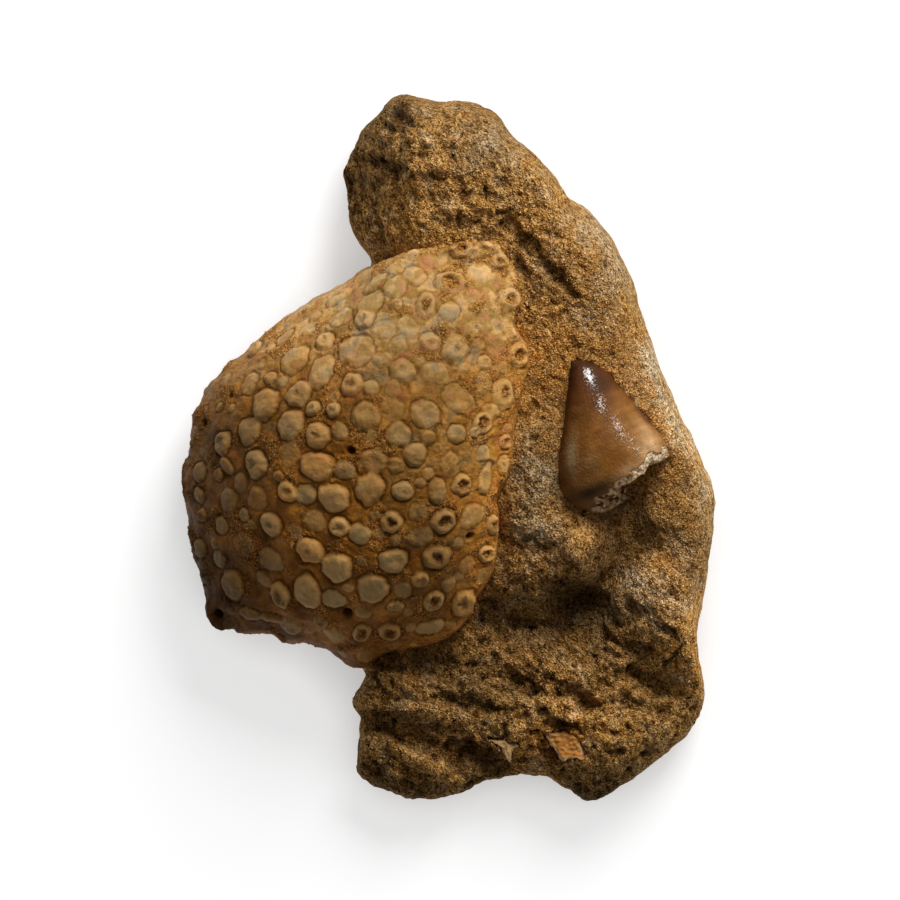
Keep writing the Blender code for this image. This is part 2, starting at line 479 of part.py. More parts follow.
def dome_normals(x, y):
    """Outward direction of the dome, from its slope over a short step each way."""
    step = 0.4
    slope_x = (plate_dome(x + step, y) - plate_dome(x - step, y)) / (2 * step)
    slope_y = (plate_dome(x, y + step) - plate_dome(x, y - step)) / (2 * step)
    normal = np.column_stack((-slope_x, -slope_y, np.ones(np.size(x))))
    return normal / np.linalg.norm(normal, axis=1)[:, None]


def stud_reach(points, studs):
    """Distance of each point from each stud, in stud radii, measured in the stud's own plane."""
    studs = np.asarray(studs, float)
    centre = np.column_stack((studs[:, :2], plate_dome(studs[:, 0], studs[:, 1])))
    normal = dome_normals(studs[:, 0], studs[:, 1])
    turn = np.radians(studs[:, 4])
    across = np.column_stack((np.cos(turn), np.sin(turn), np.zeros(len(studs))))
    across -= normal * np.sum(across * normal, axis=1)[:, None]
    across /= np.linalg.norm(across, axis=1)[:, None]
    along = np.cross(normal, across)
    offset = points[:, None] - centre[None]
    width = np.einsum("pse,se->ps", offset, across) / studs[:, 2]
    length = np.einsum("pse,se->ps", offset, along) / studs[:, 3]
    height = np.einsum("pse,se->ps", offset, normal) / (1.5 * studs[:, 3])
    return np.sqrt(width**2 + length**2 + height**2)


def stud_relief(points):
    """Height of the studs over the dome: flat-topped discs, rings around a pit, bare pits.

    A disc falls to the dome over a quarter of its radius, with a shallow moat round it.
    """
    button = np.asarray(BUTTONS, float)
    ring = np.asarray(RINGS, float)
    button_reach = stud_reach(points, button)
    ring_reach = stud_reach(points, ring)
    crown = BUTTON_CROWN - BUTTON_CROWN_FALL * button_reach**2
    disc = button[:, 5] * crown * (1 - smooth_step(*STUD_EDGE, button_reach))
    band = RING_HEIGHT * (1 - smooth_step(*STUD_EDGE, ring_reach))
    raised = np.maximum(disc.max(axis=1), band.max(axis=1))
    pit_share = ring[:, 5] / np.minimum(ring[:, 2], ring[:, 3])
    pit_depth = RING_HEIGHT + PIT_DEPTH_PER_RADIUS * ring[:, 5]
    pit = pit_depth * (1 - smooth_step(*PIT_WALL, ring_reach / pit_share))
    bare = np.asarray([(x, y, radius, radius, 0) for x, y, radius in PITS])
    bare_depth = BARE_PIT_DEPTH_PER_RADIUS * bare[:, 2]
    bare_pit = bare_depth * (1 - smooth_step(*PIT_WALL, stud_reach(points, bare)))
    sunk = np.maximum(pit.max(axis=1), bare_pit.max(axis=1))
    nearest = np.minimum(button_reach.min(axis=1), ring_reach.min(axis=1))
    moat_depth, moat_reach, moat_width = MOAT
    return raised - sunk - moat_depth * np.exp(-((nearest - moat_reach) / moat_width)**2)


def spread_points():
    """Places for the plate's points: its edge, the rings and middles of studs, then an even fill."""
    rim = closed_curve(PLATE_OUTLINE, 3)
    wanted = []
    for x, y, half_width, half_length, turn, _ in (*RINGS, *BUTTONS):
        wanted.append((x, y))
        turn = math.radians(turn)
        for share in PLATE_STUD_RINGS:
            for corner in range(PLATE_STUD_CORNERS):
                angle = FULL_TURN * corner / PLATE_STUD_CORNERS
                side = share * half_width * math.cos(angle)
                ahead = share * half_length * math.sin(angle)
                wanted.append((
                    x + side * math.cos(turn) - ahead * math.sin(turn),
                    y + side * math.sin(turn) + ahead * math.cos(turn),
                ))
    wanted += [(x, y) for x, y, _ in PITS]
    low = rim.min(axis=0)
    high = rim.max(axis=0)
    fill_from = len(wanted)
    spacing = PLATE_POINT_SPACING
    for row, y in enumerate(np.arange(low[1], high[1], spacing * math.sqrt(3) / 2)):
        start = low[0] + (row % 2) * spacing / 2
        wanted += [(x, y) for x in np.arange(start, high[0], spacing)]
    kept = []
    for place, (x, y) in enumerate(wanted):
        offset = (x - PLATE_CENTRE[0], y - PLATE_CENTRE[1])
        reach = edge_distance(PLATE_OUTLINE, PLATE_CENTRE, [math.atan2(offset[1], offset[0])])[0]
        room = PLATE_FILL_ROOM if place >= fill_from else PLATE_STUD_ROOM
        clear = all((x - a)**2 + (y - b)**2 > room**2 for a, b in kept)
        if math.hypot(*offset) < reach - PLATE_EDGE_ROOM and clear:
            kept.append((x, y))
    return rim, kept


def add_plate(finish):
    """Domed plate with its studs, a leaning wall round it and a flat underside."""
    rim, inner = spread_points()
    count = len(rim)
    flat = [Vector(place) for place in (*rim.tolist(), *inner)]
    loop = [(corner, (corner + 1) % count) for corner in range(count)]
    flat, _, triangles, _, _, _ = delaunay_2d_cdt(flat, loop, [], 1, 1e-6)
    flat = np.array([tuple(place) for place in flat])
    base = np.column_stack((flat, plate_dome(flat[:, 0], flat[:, 1])))
    offset = flat - np.asarray(PLATE_CENTRE)
    bearing = np.arctan2(offset[:, 1], offset[:, 0])
    reach = edge_distance(PLATE_OUTLINE, PLATE_CENTRE, bearing)
    inside = reach - np.hypot(offset[:, 0], offset[:, 1])
    relief = stud_relief(base) * smooth_step(0.0, RELIEF_FADE, inside)
    points = base + dome_normals(flat[:, 0], flat[:, 1]) * relief[:, None]
    points[:count] = base[:count]
    inwards = -offset[:count] / np.linalg.norm(offset[:count], axis=1)[:, None]
    faces = [list(face) for face in triangles]
    upper = np.arange(count)
    layers = [points]
    for drop in (0.5, 1.0):
        level = base[:count].copy()
        level[:, :2] += inwards * (PLATE_WALL_LEAN * drop**2)
        level[:, 2] += (PLATE_UNDERSIDE - level[:, 2]) * drop
        lower = upper + (len(points) if upper[0] == 0 else count)
        layers.append(level)
        faces += band_faces(upper, lower)[:, ::-1].tolist()
        upper = lower
    faces.append(upper[::-1].tolist())
    return add_object("button_plate", np.concatenate(layers), faces, finish)


def tooth_shape(around, rows, grow=0.0):
    """Crown as rings of half-ellipses over a bent axis, from the blunt tip to the broken base.

    Each lengthwise line has its own length, so that the base slants, bevels and is jagged, and
    the crest drifts from one side to the other.
    """
    profile = np.asarray(TOOTH_PROFILE)
    angle = FULL_TURN * np.arange(around) / around
    jag = sum(height * np.sin(count * angle + phase) for count, height, phase in TOOTH_BASE_JAGS)
    bevel = TOOTH_BASE_BEVEL * np.maximum(np.sin(angle), 0)**2
    undercut = TOOTH_BASE_UNDERCUT * np.maximum(-np.sin(angle), 0)
    length = TOOTH_LENGTH - TOOTH_BASE_SLANT * np.cos(angle) - bevel - undercut + jag + grow
    ahead = np.array([math.cos(TOOTH_BEARING), math.sin(TOOTH_BEARING)])
    side = np.array([-ahead[1], ahead[0]])

    def ring(distance, share):
        bend = curve_through(profile[:, 0], profile[:, 1], distance)
        half = curve_through(profile[:, 0], profile[:, 2], distance) * share + grow
        tall = np.where(np.sin(angle) > 0, TOOTH_RISE_PER_WIDTH, TOOTH_DEPTH_PER_WIDTH)
        plan = np.asarray(TOOTH_TIP) + np.outer(distance, ahead)
        shift = TOOTH_CREST_SHIFT_BASE - TOOTH_CREST_SHIFT_TIP
        shift = TOOTH_CREST_SHIFT_TIP + shift * distance / TOOTH_LENGTH
        crest = shift * np.maximum(np.sin(angle), 0)**2
        plan += np.outer(bend + half * (np.cos(angle) - crest), side)
        axis = TOOTH_AXIS_HEIGHT_TIP
        axis = axis + (TOOTH_AXIS_HEIGHT_BASE - TOOTH_AXIS_HEIGHT_TIP) * distance / TOOTH_LENGTH
        return np.column_stack((plan, axis + tall * half * np.sin(angle)))

    layers = [ring(np.full(around, -grow - 0.1), 0.5)]
    for row in range(rows + 1):
        layers.append(ring(length * (row / rows)**TOOTH_RING_CROWDING - grow, 1.0))
    hollow = 0.0 if grow else TOOTH_BASE_HOLLOW
    layers += [ring(length - hollow * (1 - share), share) for share in (0.75, 0.4)]
    points = np.concatenate(layers)
    faces = []
    for layer in range(len(layers) - 1):
        upper = np.arange(around) + layer * around
        faces += band_faces(upper, upper + around).tolist()
    tip = len(points)
    end = tip + 1
    points = np.concatenate((points, [layers[0].mean(axis=0)], [layers[-1].mean(axis=0)]))
    last = (len(layers) - 1) * around
    for corner in range(around):
        following = (corner + 1) % around
        faces.append([tip, corner, following])
        faces.append([end, last + following, last + corner])
    return points, faces


def chip_shape(outline, top, depth):
    """Flat chip: its outline with a raised, slightly smaller face and a smaller underside."""
    shoulders = (1.0, top - CHIP_BEVEL)
    layers = ((CHIP_TOP_SHARE, top), shoulders, (CHIP_UNDERSIDE_SHARE, top - depth))
    return stacked_shape(outline, 0.0, layers)


def chip_pocket_shape(outline, top, depth):
    """Room for a chip in the block, open to above it."""
    underside = (CHIP_UNDERSIDE_SHARE, top - depth - CLEARANCE)
    layers = ((1.0, top + 2 * depth), (1.0, top - CHIP_BEVEL), underside)
    return stacked_shape(outline, CLEARANCE, layers)


def stacked_shape(outline, grow, layers):
    """Solid through level copies of an outline, each scaled about its middle: share, height."""
    edge = closed_curve(outline, 2)
    middle = edge.mean(axis=0)
    away = edge - middle
    away = away * (1 + grow / np.linalg.norm(away, axis=1))[:, None]
    points = []
    for share, height in layers:
        points.append(np.column_stack((middle + away * share, np.full(len(edge), height))))
    ring = np.arange(len(edge))
    faces = [ring.tolist(), (ring + (len(layers) - 1) * len(edge))[::-1].tolist()]
    for layer in range(len(layers) - 1):
        upper = ring + layer * len(edge)
        faces += band_faces(upper, upper + len(edge)).tolist()
    return np.concatenate(points), faces


def plate_pocket_shape():
    """Room for the plate in the block: its outline with clearance, from under it upwards."""
    edge = closed_curve(PLATE_OUTLINE, 3)
    away = edge - np.asarray(PLATE_CENTRE)
    edge = edge + away / np.linalg.norm(away, axis=1)[:, None] * CLEARANCE
    low = np.column_stack((edge, np.full(len(edge), PLATE_UNDERSIDE - CLEARANCE)))
    well_above_the_block = max(height for _, _, height in (*BLOCK_TOP, *PLATE_TOP)) + PLATE_UNDERSIDE
    high = np.column_stack((edge, np.full(len(edge), well_above_the_block)))
    ring = np.arange(len(edge))
    faces = [(ring + len(edge)).tolist(), ring[::-1].tolist()]
    faces += band_faces(ring, ring + len(edge))[:, ::-1].tolist()
    return np.concatenate((low, high)), faces


def face_outwards(item):
    """Turns the faces of a closed mesh outwards."""
    shape = bmesh.new()
    shape.from_mesh(item.data)
    bmesh.ops.recalc_face_normals(shape, faces=shape.faces)
    shape.to_mesh(item.data)
    shape.free()


def cut_pocket(block, name, points, faces, finish):
    """Cuts the shape out of the block with a hidden cutter."""
    cutter = add_object(name, points, faces, finish)
    face_outwards(cutter)
    cutter.hide_render = True
    cutter.display_type = "WIRE"
    cut = block.modifiers.new(name, "BOOLEAN")
    cut.operation = "DIFFERENCE"
    cut.solver = "EXACT"
    cut.object = cutter


def main():
    remove_old_objects()
    sandstone = add_finish("sandy_limestone_matrix", (0.33, 0.21, 0.10), 0.95)
    enamel = add_finish("worn_enamel_plate", (0.52, 0.38, 0.22), 0.55)
    crown = add_finish("polished_fossil_enamel", (0.32, 0.15, 0.06), 0.25)
    bone = add_finish("fossil_bone", (0.60, 0.46, 0.30), 0.70)
    block = add_block(sandstone)
    tooth = add_object("mosasaur_tooth", *tooth_shape(TOOTH_LINES, TOOTH_RINGS), crown)
    pieces = [block, add_plate(enamel), tooth]
    cut_pocket(block, "plate_pocket", *plate_pocket_shape(), sandstone)
    tooth_room = tooth_shape(TOOTH_LINES, TOOTH_RINGS, CLEARANCE)
    cut_pocket(block, "tooth_pocket", *tooth_room, sandstone)
    for name, (outline, top, depth) in CHIPS.items():
        pieces.append(add_object(name, *chip_shape(outline, top, depth), bone))
        cut_pocket(block, name + "_pocket", *chip_pocket_shape(outline, top, depth), sandstone)
    for piece in pieces:
        face_outwards(piece)


main()
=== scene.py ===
"""Looks of the fossil mosasaur tooth in its block of sandy matrix, beside a domed plate of studs.

The file is laid out as an add-on: a property group for each kind of surface, an operator for each
piece and for the stage, and a panel that lists them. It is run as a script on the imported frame.
The forms repeat the named sizes of the solids, in millimetres, and are worked out on finer grids,
with the grit, pits, sand and wear that the solids are too coarse to carry.
"""

import math

import bpy
import numpy as np
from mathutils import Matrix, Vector


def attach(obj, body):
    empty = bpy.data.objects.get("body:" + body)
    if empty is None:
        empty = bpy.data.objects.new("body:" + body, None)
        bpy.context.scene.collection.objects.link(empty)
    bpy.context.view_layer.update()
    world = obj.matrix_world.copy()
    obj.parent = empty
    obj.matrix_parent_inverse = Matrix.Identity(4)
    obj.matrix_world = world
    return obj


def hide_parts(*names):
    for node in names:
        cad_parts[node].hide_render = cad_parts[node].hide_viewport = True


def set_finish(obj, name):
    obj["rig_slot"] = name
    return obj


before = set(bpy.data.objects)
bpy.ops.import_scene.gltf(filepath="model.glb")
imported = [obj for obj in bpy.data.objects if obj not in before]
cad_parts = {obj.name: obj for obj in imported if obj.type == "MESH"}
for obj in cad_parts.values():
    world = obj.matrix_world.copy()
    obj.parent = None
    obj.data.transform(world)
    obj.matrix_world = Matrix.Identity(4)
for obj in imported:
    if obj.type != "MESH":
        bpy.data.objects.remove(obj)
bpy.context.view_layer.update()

bl_info = {
    "name": "Fossil tooth in matrix",
    "version": (1, 0, 0),
    "blender": (4, 5, 0),
    "location": "3D View > Sidebar > Fossil",
    "description": "Dresses the solids of a fossil tooth, a studded plate and their matrix",
    "category": "Add Mesh",
}

METRES_PER_MM = 0.001
FULL_TURN = 2 * math.pi

# Matrix block: its widest line seen from above, clockwise from the left notch above the plate.
BLOCK_CENTRE = (17, 0)
BLOCK_OUTLINE = (
    (-16.7, 38.8), (-20.1, 46.5), (-22.2, 56), (-21.6, 61.8), (-18.6, 67.8), (-14.4, 73.4), (-10.1, 75.2),
    (-4.1, 73.9), (3.3, 74.1), (9, 71.8), (12.4, 67.8), (19.3, 61.8), (25.6, 53.7), (32, 48.2),
    (36.3, 42.2), (41, 29), (43.9, 22), (48.6, 9.3), (54.4, -3.1), (56.9, -10.5), (56.9, -14.1),
    (55.6, -26.9), (53.3, -37.6), (53.3, -43.9), (54.8, -53.1), (53.1, -58.8), (48.6, -63.7), (40.5, -70.1),
    (34.6, -73.7), (29.9, -75.2), (25.2, -72.7), (21.4, -70.5), (16.1, -70.1), (10.3, -70.7), (1.2, -73.5),
    (-8.4, -74.4), (-14.8, -72.4), (-19.5, -69.5), (-19.7, -65.6), (-18.8, -61), (-20.1, -54.1),
    (-17.8, -48.2), (-22.2, -43.9), (-31.8, -38.8), (-44.6, -36.9), (-49.9, -34.4), (-53.1, -23.7),
    (-54.1, -11), (-52.4, -0.3), (-47.8, 10.3), (-38.2, 22), (-25.4, 31.6),
)
# Bearing from the centre in degrees, height of the widest line, width of the rounded shoulder
# above it, and how far in the base lies.
BLOCK_FLANK = (
    (-180, 5, 2, 2.5), (-145, 5, 2, 2.5), (-132, 8, 5, 4), (-115, 8, 7, 5), (-90, 8, 8, 5), (-60, 8, 9, 5),
    (-35, 11, 6, 5), (0, 13, 6.5, 5), (40, 13, 8, 5), (75, 14, 9, 5), (105, 14, 11, 5), (125, 13, 9, 5),
    (134, 8, 4, 4), (143, 5, 2, 2.5), (180, 5, 2, 2.5),
)
# Heights of the block's top: x, y, z.
BLOCK_TOP = (
    # upper lobe, with its steep left flank
    (4.4, 69.9, 38), (-2, 67.8, 38.5), (-8.4, 69.9, 35), (-12.7, 71, 27.5),
    (-18, 63.5, 21), (-10.1, 59.3, 36), (-13.8, 58.5, 28), (15, 57.1, 40),
    (10.7, 55, 41), (-4.1, 52.9, 38.5), (-9.6, 50.5, 35.5), (-14.5, 50, 25),
    (23.5, 50, 38), (29.9, 45.4, 35.5), (5, 47.5, 38.5), (-6.3, 44.5, 36.5),
    (-13, 42, 27), (34, 38, 35.5), (37, 30, 35),
    # gully beside the plate, under a ridge
    (13.5, 48, 38.5), (19.4, 43.4, 38.5), (24.9, 38, 38), (29.2, 32.2, 37),
    (12.2, 45.4, 36.5), (16.7, 40.5, 36), (21.6, 35.5, 35.8), (25, 31, 35.5),
    (17.1, 31, 34.5), (19, 25.5, 33.8),
    # sandy slope and the bed of the tooth
    (19.3, 14.6, 32.8), (18.2, 6.1, 33), (32, 23.1, 36), (37, 20, 35.5),
    (23.5, 10.3, 33.5), (32, 1.8, 34), (42.7, 10.3, 35.5), (47, 0, 34.5),
    (51.5, -9, 31), (38.5, -6, 31.5),
    # left of the tooth, falling to the plate, and the nose under it
    (17.1, -2.4, 35), (15, -11, 34), (20.3, -6.7, 34.5), (20.3, -15.2, 34.5),
    (13.3, -16.5, 31.5), (20.5, -22, 33.5), (13.5, -22.5, 29), (28.8, -17.3, 35.5),
    (31.3, -20.5, 35.3), (29.3, -25, 34.6), (27, -29, 31.5), (21, -29.8, 29.5),
    (14.5, -30.5, 27.5), (9.8, -29.5, 25.5),
    # foot of the cliff
    (26.5, -34.5, 20), (21.5, -35.5, 22.5), (15, -37, 20), (9, -38.5, 19),
    # valley right of the nose
    (39, -10.5, 28), (37.8, -15.2, 26), (36.8, -21.7, 25), (33.2, -27, 24),
    (31, -31.5, 21),
    # right mass and its diagonal cliff
    (44, -14, 31.5), (48.5, -19.5, 31), (44.8, -25.7, 31), (49, -31.1, 30.8),
    (40.5, -26.5, 29.5), (44.5, -34, 30.6), (50, -38, 30.2), (37, -30, 27.5),
    (37.5, -34.5, 27), (43, -38, 29.4), (34.5, -38.5, 22.5), (39.5, -42, 25),
    (45.8, -45, 24.5),
    # lower block, with its hollows and ridges
    (3.5, -42, 20), (15, -43.5, 21.5), (23.5, -42.5, 22), (32, -41, 22),
    (-6.3, -48.3, 20.5), (-11.5, -51.5, 20), (0.1, -53, 20.5), (10.7, -51, 19),
    (14, -56, 20.5), (21.4, -53.5, 21), (32, -53.5, 21.5), (38.5, -54.5, 20.5),
    (44.5, -49.8, 19.5), (50, -51, 19), (44, -57, 19.8), (-13.7, -58.3, 15.5),
    (-7, -59, 16.5), (-11, -54.6, 19), (-12, -65, 16.5), (-3, -66, 15.5),
    (1.5, -63, 13.5), (4.5, -67.5, 12), (9.7, -62.4, 17.5), (18, -62.5, 17),
    (23.5, -62.1, 18.5), (32, -65.5, 18.8), (29, -70.6, 15.5), (40.5, -63.1, 19),
    # bed of the plate
    (0, -20, 22), (0, 20, 24), (-30, 0, 16), (-45, -25, 14),
    (-35, 18, 14), (-28, -35, 14),
)
# Least height of the block's top over its widest line.
BLOCK_LEAST_RISE = 2.0
# Domed plate, bedded in the block: its edge seen from above, anticlockwise from the upper notch.
PLATE_CENTRE = (-20, 0)
PLATE_OUTLINE = (
    (-16.7, 38.8), (-22.2, 35.4), (-28.6, 32), (-36.1, 27.3), (-44.6, 20.1), (-50.5, 14.1), (-54, 7.8),
    (-55.4, 1.8), (-56.9, -6.8), (-55.9, -15.2), (-54.6, -22.7), (-52.4, -29.7), (-51.4, -36.1),
    (-49.8, -38.5), (-46.3, -38.4), (-44.6, -39.4), (-38.6, -39.3), (-34.6, -41.4), (-29.3, -41.8),
    (-24.4, -44.1), (-21.2, -46.7), (-18, -46.7), (-15.9, -45), (-12.7, -43.3), (-2, -41.2), (4.4, -36.1),
    (5.6, -32.5), (9, -26.9), (10.1, -22), (10.5, -14.1), (10.2, -10.4), (12.9, -4.6), (13.7, 3.5),
    (15, 10.2), (17.1, 19.9), (13.9, 26.3), (15.4, 32.7), (11.8, 41.8), (6.5, 44.6), (0.1, 43.1),
    (-8.4, 42.2),
)
PLATE_UNDERSIDE = 10.0
PLATE_EDGE_HEIGHT = 17.0
PLATE_SHOULDER = 9.0
# Where the edge lies in the block, its shoulder is narrower, and it sits this deep.
PLATE_BURIED_SHOULDER = 2.0
PLATE_BURIED_DEPTH = 0.8
PLATE_WALL_LEAN = 2.5
# Dressed, its buried edge is this much higher, so that the sand laps against it.
PLATE_EDGE_LIFT = 0.9
# Bearings between which the plate's edge lies in the block, and the stretch between both kinds.
PLATE_BURIED_FROM = math.radians(-83)
PLATE_BURIED_TO = math.radians(80)
PLATE_EDGE_BLEND = math.radians(9)
# Heights of the plate's dome: x, y, z.
PLATE_TOP = (
    (-12.7, 6.1, 50), (-21.2, 10.3, 49), (-4.1, -0.3, 48), (-10.5, 21, 47), (0.1, 21, 44), (6.5, 31.6, 39),
    (2.2, 40.1, 36), (10.7, 40.1, 34), (-10.5, 35.9, 40), (-25.4, 29.5, 36), (-31.8, 25.2, 35),
    (-40.3, 16.7, 34), (-46.7, 6.1, 31), (-51, -6.7, 27), (-51, -19.5, 25), (-47.8, -30.1, 23),
    (-38.2, -23.7, 33), (-40.3, -6.7, 38), (-31.8, 6.1, 44), (-29.7, -11, 43), (-27.6, -28, 36),
    (-33.9, -36.5, 27), (-21.2, -38.6, 29), (-10.5, -32.2, 36), (-2, -32.2, 34), (6.5, -23.7, 36),
    (8.6, -6.7, 39), (10.7, 6.1, 39), (11.8, 21, 37), (4.4, 6.1, 44), (0.1, -15.2, 43), (-14.8, -15.2, 45),
    (-10.5, -40.7, 27),
)

# Studs with a pit: x, y, half width, half length, turn in degrees, pit radius.
RINGS = (
    (2.4, 42.4, 2.6, 2.4, 0, 1.4), (-5, 30.3, 2.1, 2.8, -10, 1.1), (12.9, 31.6, 2.6, 2.6, 0, 1.3),
    (-4.1, 22.2, 2.4, 2.3, 0, 0.6), (14.6, 19.7, 2.8, 2.8, 0, 1.3), (7.3, 18.2, 1.7, 1.7, 0, 0.6),
    (1.2, 21, 3, 3.6, -20, 0.5), (-18, 27.3, 2.4, 2.3, 0, 0.7), (-26.3, 22.9, 2.3, 2.3, 0, 0.7),
    (-41.2, 21.2, 2.1, 2.1, 0, 0.7), (-31.8, 11.6, 3, 2.9, 0, 0.5), (-48.2, 1.2, 2.8, 2.6, 0, 0.8),
    (-20.7, 13.5, 2.6, 2.6, 0, 0.9), (-24.4, 8, 1.7, 1.7, 0, 0.5), (-27.8, 2.7, 2.9, 3, 0, 0.7),
    (-9.7, 16.5, 3, 2.6, -25, 0.6), (-41, -3.3, 3.1, 3.1, 0, 0.8), (-34.1, -9, 2.6, 2.3, -30, 0.7),
    (-37.8, -15.9, 2.8, 2.6, -20, 0.6), (-23.1, -16.5, 2.4, 2.3, 0, 0.7), (-29.5, -21.4, 3.2, 3, -30, 0.5),
    (-1.2, -15.4, 2.8, 2.8, 0, 1.4), (-2.7, -22.9, 3.1, 3, 0, 1.1), (-35.9, -31.2, 2.3, 3.4, 0, 0.9),
    (-18.6, -39, 2, 2.9, -15, 1.1), (-12.7, -38.8, 2.4, 2.8, 0, 1.3), (2.9, -32.7, 2.7, 3.5, -15, 0.9),
    (-11.4, 30.5, 1.4, 1.3, 0, 0.6), (-27.3, -36.5, 1.7, 1.7, 0, 0.9), (-11.4, -33.3, 1.8, 1.4, 0, 0.8),
    (-6.1, -27.6, 1.9, 1.8, -40, 0.8), (-3.3, -32.2, 2.2, 3, -25, 1.2), (-12.2, -15.4, 2.5, 2.4, 0, 1.1),
    (2.7, -7.8, 2.5, 2.4, 0, 1.5), (0.1, 35.2, 3.3, 2.6, 0, 1.8), (11.4, 11.6, 2.8, 3.1, 0, 1.3),
    (7.1, 5.4, 2.8, 2.4, 30, 1.6), (9.3, -16.1, 1.8, 2.1, 0, 1.1), (7.8, -22.2, 2, 2, 0, 1.1),
    (11.8, 1.4, 1.7, 1.7, 0, 0.8), (10.7, 39.7, 1.8, 1.7, 0, 0.9), (-48.8, -5.4, 1.6, 1.5, 0, 0.7),
    (-9.7, -9, 2.3, 2.2, 0, 0.4), (-52.4, -14.1, 1.6, 1.5, 0, 0.7), (-28.6, 8.4, 1.9, 1.8, 0, 0.5),
    (5.2, 3.3, 1.3, 1.3, 0, 0.8), (-23.3, 32, 3.4, 1.9, 20, 0.6),
)
# Studs with a closed top: x, y, half width, half length, turn in degrees, height.
BUTTONS = (
    (0.1, 29, 2.2, 2.1, 0, 0.8), (-7.3, 36.5, 2.4, 2.2, 0, 0.8), (-19.7, 20.7, 4.2, 3.6, -20, 1),
    (-15.9, 35, 3.3, 1.9, 10, 0.8), (-16.9, 31, 3, 2.6, 0, 0.4), (-22.9, 27.8, 2.8, 2.6, 0, 0.4),
    (-28.4, 28, 1.6, 1.4, 20, 0.6), (-11.4, 34, 2.5, 2.3, 0, 0.6), (-35, 23.5, 2.6, 1.9, 35, 0.8),
    (-32.9, 18.8, 3.5, 3.3, 0, 1), (-39, 9.3, 3.6, 3.6, 0, 1.1), (-33.5, 5, 3.4, 3.4, 0, 1),
    (-42.4, 3.5, 3.4, 3.2, 0, 0.7), (-42.4, 13.9, 2.7, 2.4, 40, 0.5), (-37.8, 15, 1.7, 1.6, 0, 0.6),
    (-48.8, 8.8, 1.4, 1.3, 0, 0.6), (-16.7, 12.7, 1.9, 1.8, 0, 0.7), (-27.1, 16.3, 2.9, 4.1, -15, 0.8),
    (-17.6, 6.7, 3.2, 3.1, 0, 1), (-10.7, 2.7, 2.8, 2.7, 0, 0.8), (-7.3, -1.4, 2.6, 2.6, 0, 0.8),
    (-5.2, 7.1, 3.2, 3, 0, 0.7), (2.2, 10.1, 4.1, 2.8, -20, 0.5), (1.6, 2.9, 2.1, 2.1, 0, 0.6),
    (8.6, 7.6, 2.1, 2, 0, 0.5), (14, 7.1, 1.4, 1.5, 0, 0.7), (-53.1, -5, 2.3, 2.4, 0, 0.9),
    (-47.1, -3.7, 2.6, 1.4, -20, 0.7), (-27.8, -3.7, 3.8, 3.1, -5, 1), (-21.8, -4.6, 2.4, 2.2, 0, 0.4),
    (-16.9, -8.6, 3.1, 3.6, -20, 1), (-30.3, -9.7, 2.6, 2.3, 0, 0.4), (-24.4, -10.5, 3.6, 3.2, 0, 0.9),
    (-23.7, -25, 3.4, 3.5, 0, 0.8), (-16.3, -29.7, 3.5, 3.9, -20, 1), (-11.8, -23.7, 3.2, 2.8, 10, 0.8),
    (-2.7, -8.8, 2, 2.8, 0, 0.7), (7.6, -6.3, 1.7, 3.6, -10, 0.7), (11.6, -3.5, 1.7, 2.3, 0, 0.6),
    (-46.1, -29, 3, 3.7, -10, 1), (-30.1, -30.3, 3, 4.5, 5, 1), (-42.4, -35.2, 2.6, 1.9, 0, 0.5),
    (-24.4, -31.8, 2.7, 2.6, 0, 0.3), (-4.1, -38, 3.2, 2.1, 20, 0.5), (-48.4, -16.3, 2.2, 2.1, 0, 0.4),
    (-53.1, -21.2, 2.1, 2.2, 0, 0.8), (-53.1, -9.9, 2, 1.9, 0, 0.8), (-43.5, -14.1, 1.6, 1.5, 0, 0.4),
    (-19, -18, 2.6, 2.4, 0, 0.3), (-38, -36, 2.4, 1.7, 0, 0.5), (-49, -23.5, 2, 2.2, 0, 0.5),
)
# Bare pits: x, y, radius.
PITS = (
    (-52.2, 5.6, 1.1), (-46.5, 11.4, 0.9), (-20.7, -0.5, 1.1), (-49.3, -35.2, 1.2), (4.4, -18.6, 1),
    (-21.6, -35, 1.2),
)
# Tooth crown, lying on its side in the block: distance from the tip, sideways bend, half width.
TOOTH_TIP = (27.5, 19.1)
TOOTH_BEARING = math.radians(-67.6)
TOOTH_AHEAD = (math.cos(TOOTH_BEARING), math.sin(TOOTH_BEARING))
TOOTH_PROFILE = (
    (-0.5, -1.6, 0.5), (0.6, -0.8, 1.5), (1.5, -0.25, 2.55), (2.4, 0, 3.3), (4.5, 0, 4.45), (8, -0.2, 6.2),
    (12, -0.65, 8), (16, -1.35, 9.8), (20, -1.85, 11.4), (23, -1.9, 12.1), (26, -1.85, 12.25),
    (28.6, -1.45, 11.4), (30.2, -1, 10.2), (32, -0.6, 8.4),
)
TOOTH_LENGTH = 28.9
TOOTH_AXIS_HEIGHT_TIP = 34.3
TOOTH_AXIS_HEIGHT_BASE = 33.4
TOOTH_RISE_PER_WIDTH = 0.74
TOOTH_DEPTH_PER_WIDTH = 0.55
# The crest lies left of the middle by this share of the half width, at the tip and at the base.
TOOTH_CREST_SHIFT_TIP = 0.42
TOOTH_CREST_SHIFT_BASE = -0.18
# Broken base: longer on the left, shorter on the crest, undercut below, hollow in the middle, and
# jagged by waves round it with a count, a height and a phase.
TOOTH_BASE_SLANT = 2.8
TOOTH_BASE_BEVEL = 0.9
TOOTH_BASE_UNDERCUT = 2.5
TOOTH_BASE_HOLLOW = 1.0
TOOTH_BASE_JAGS = ((5, 0.35, 0.4), (9, 0.3, 2.1), (14, 0.25, 4))
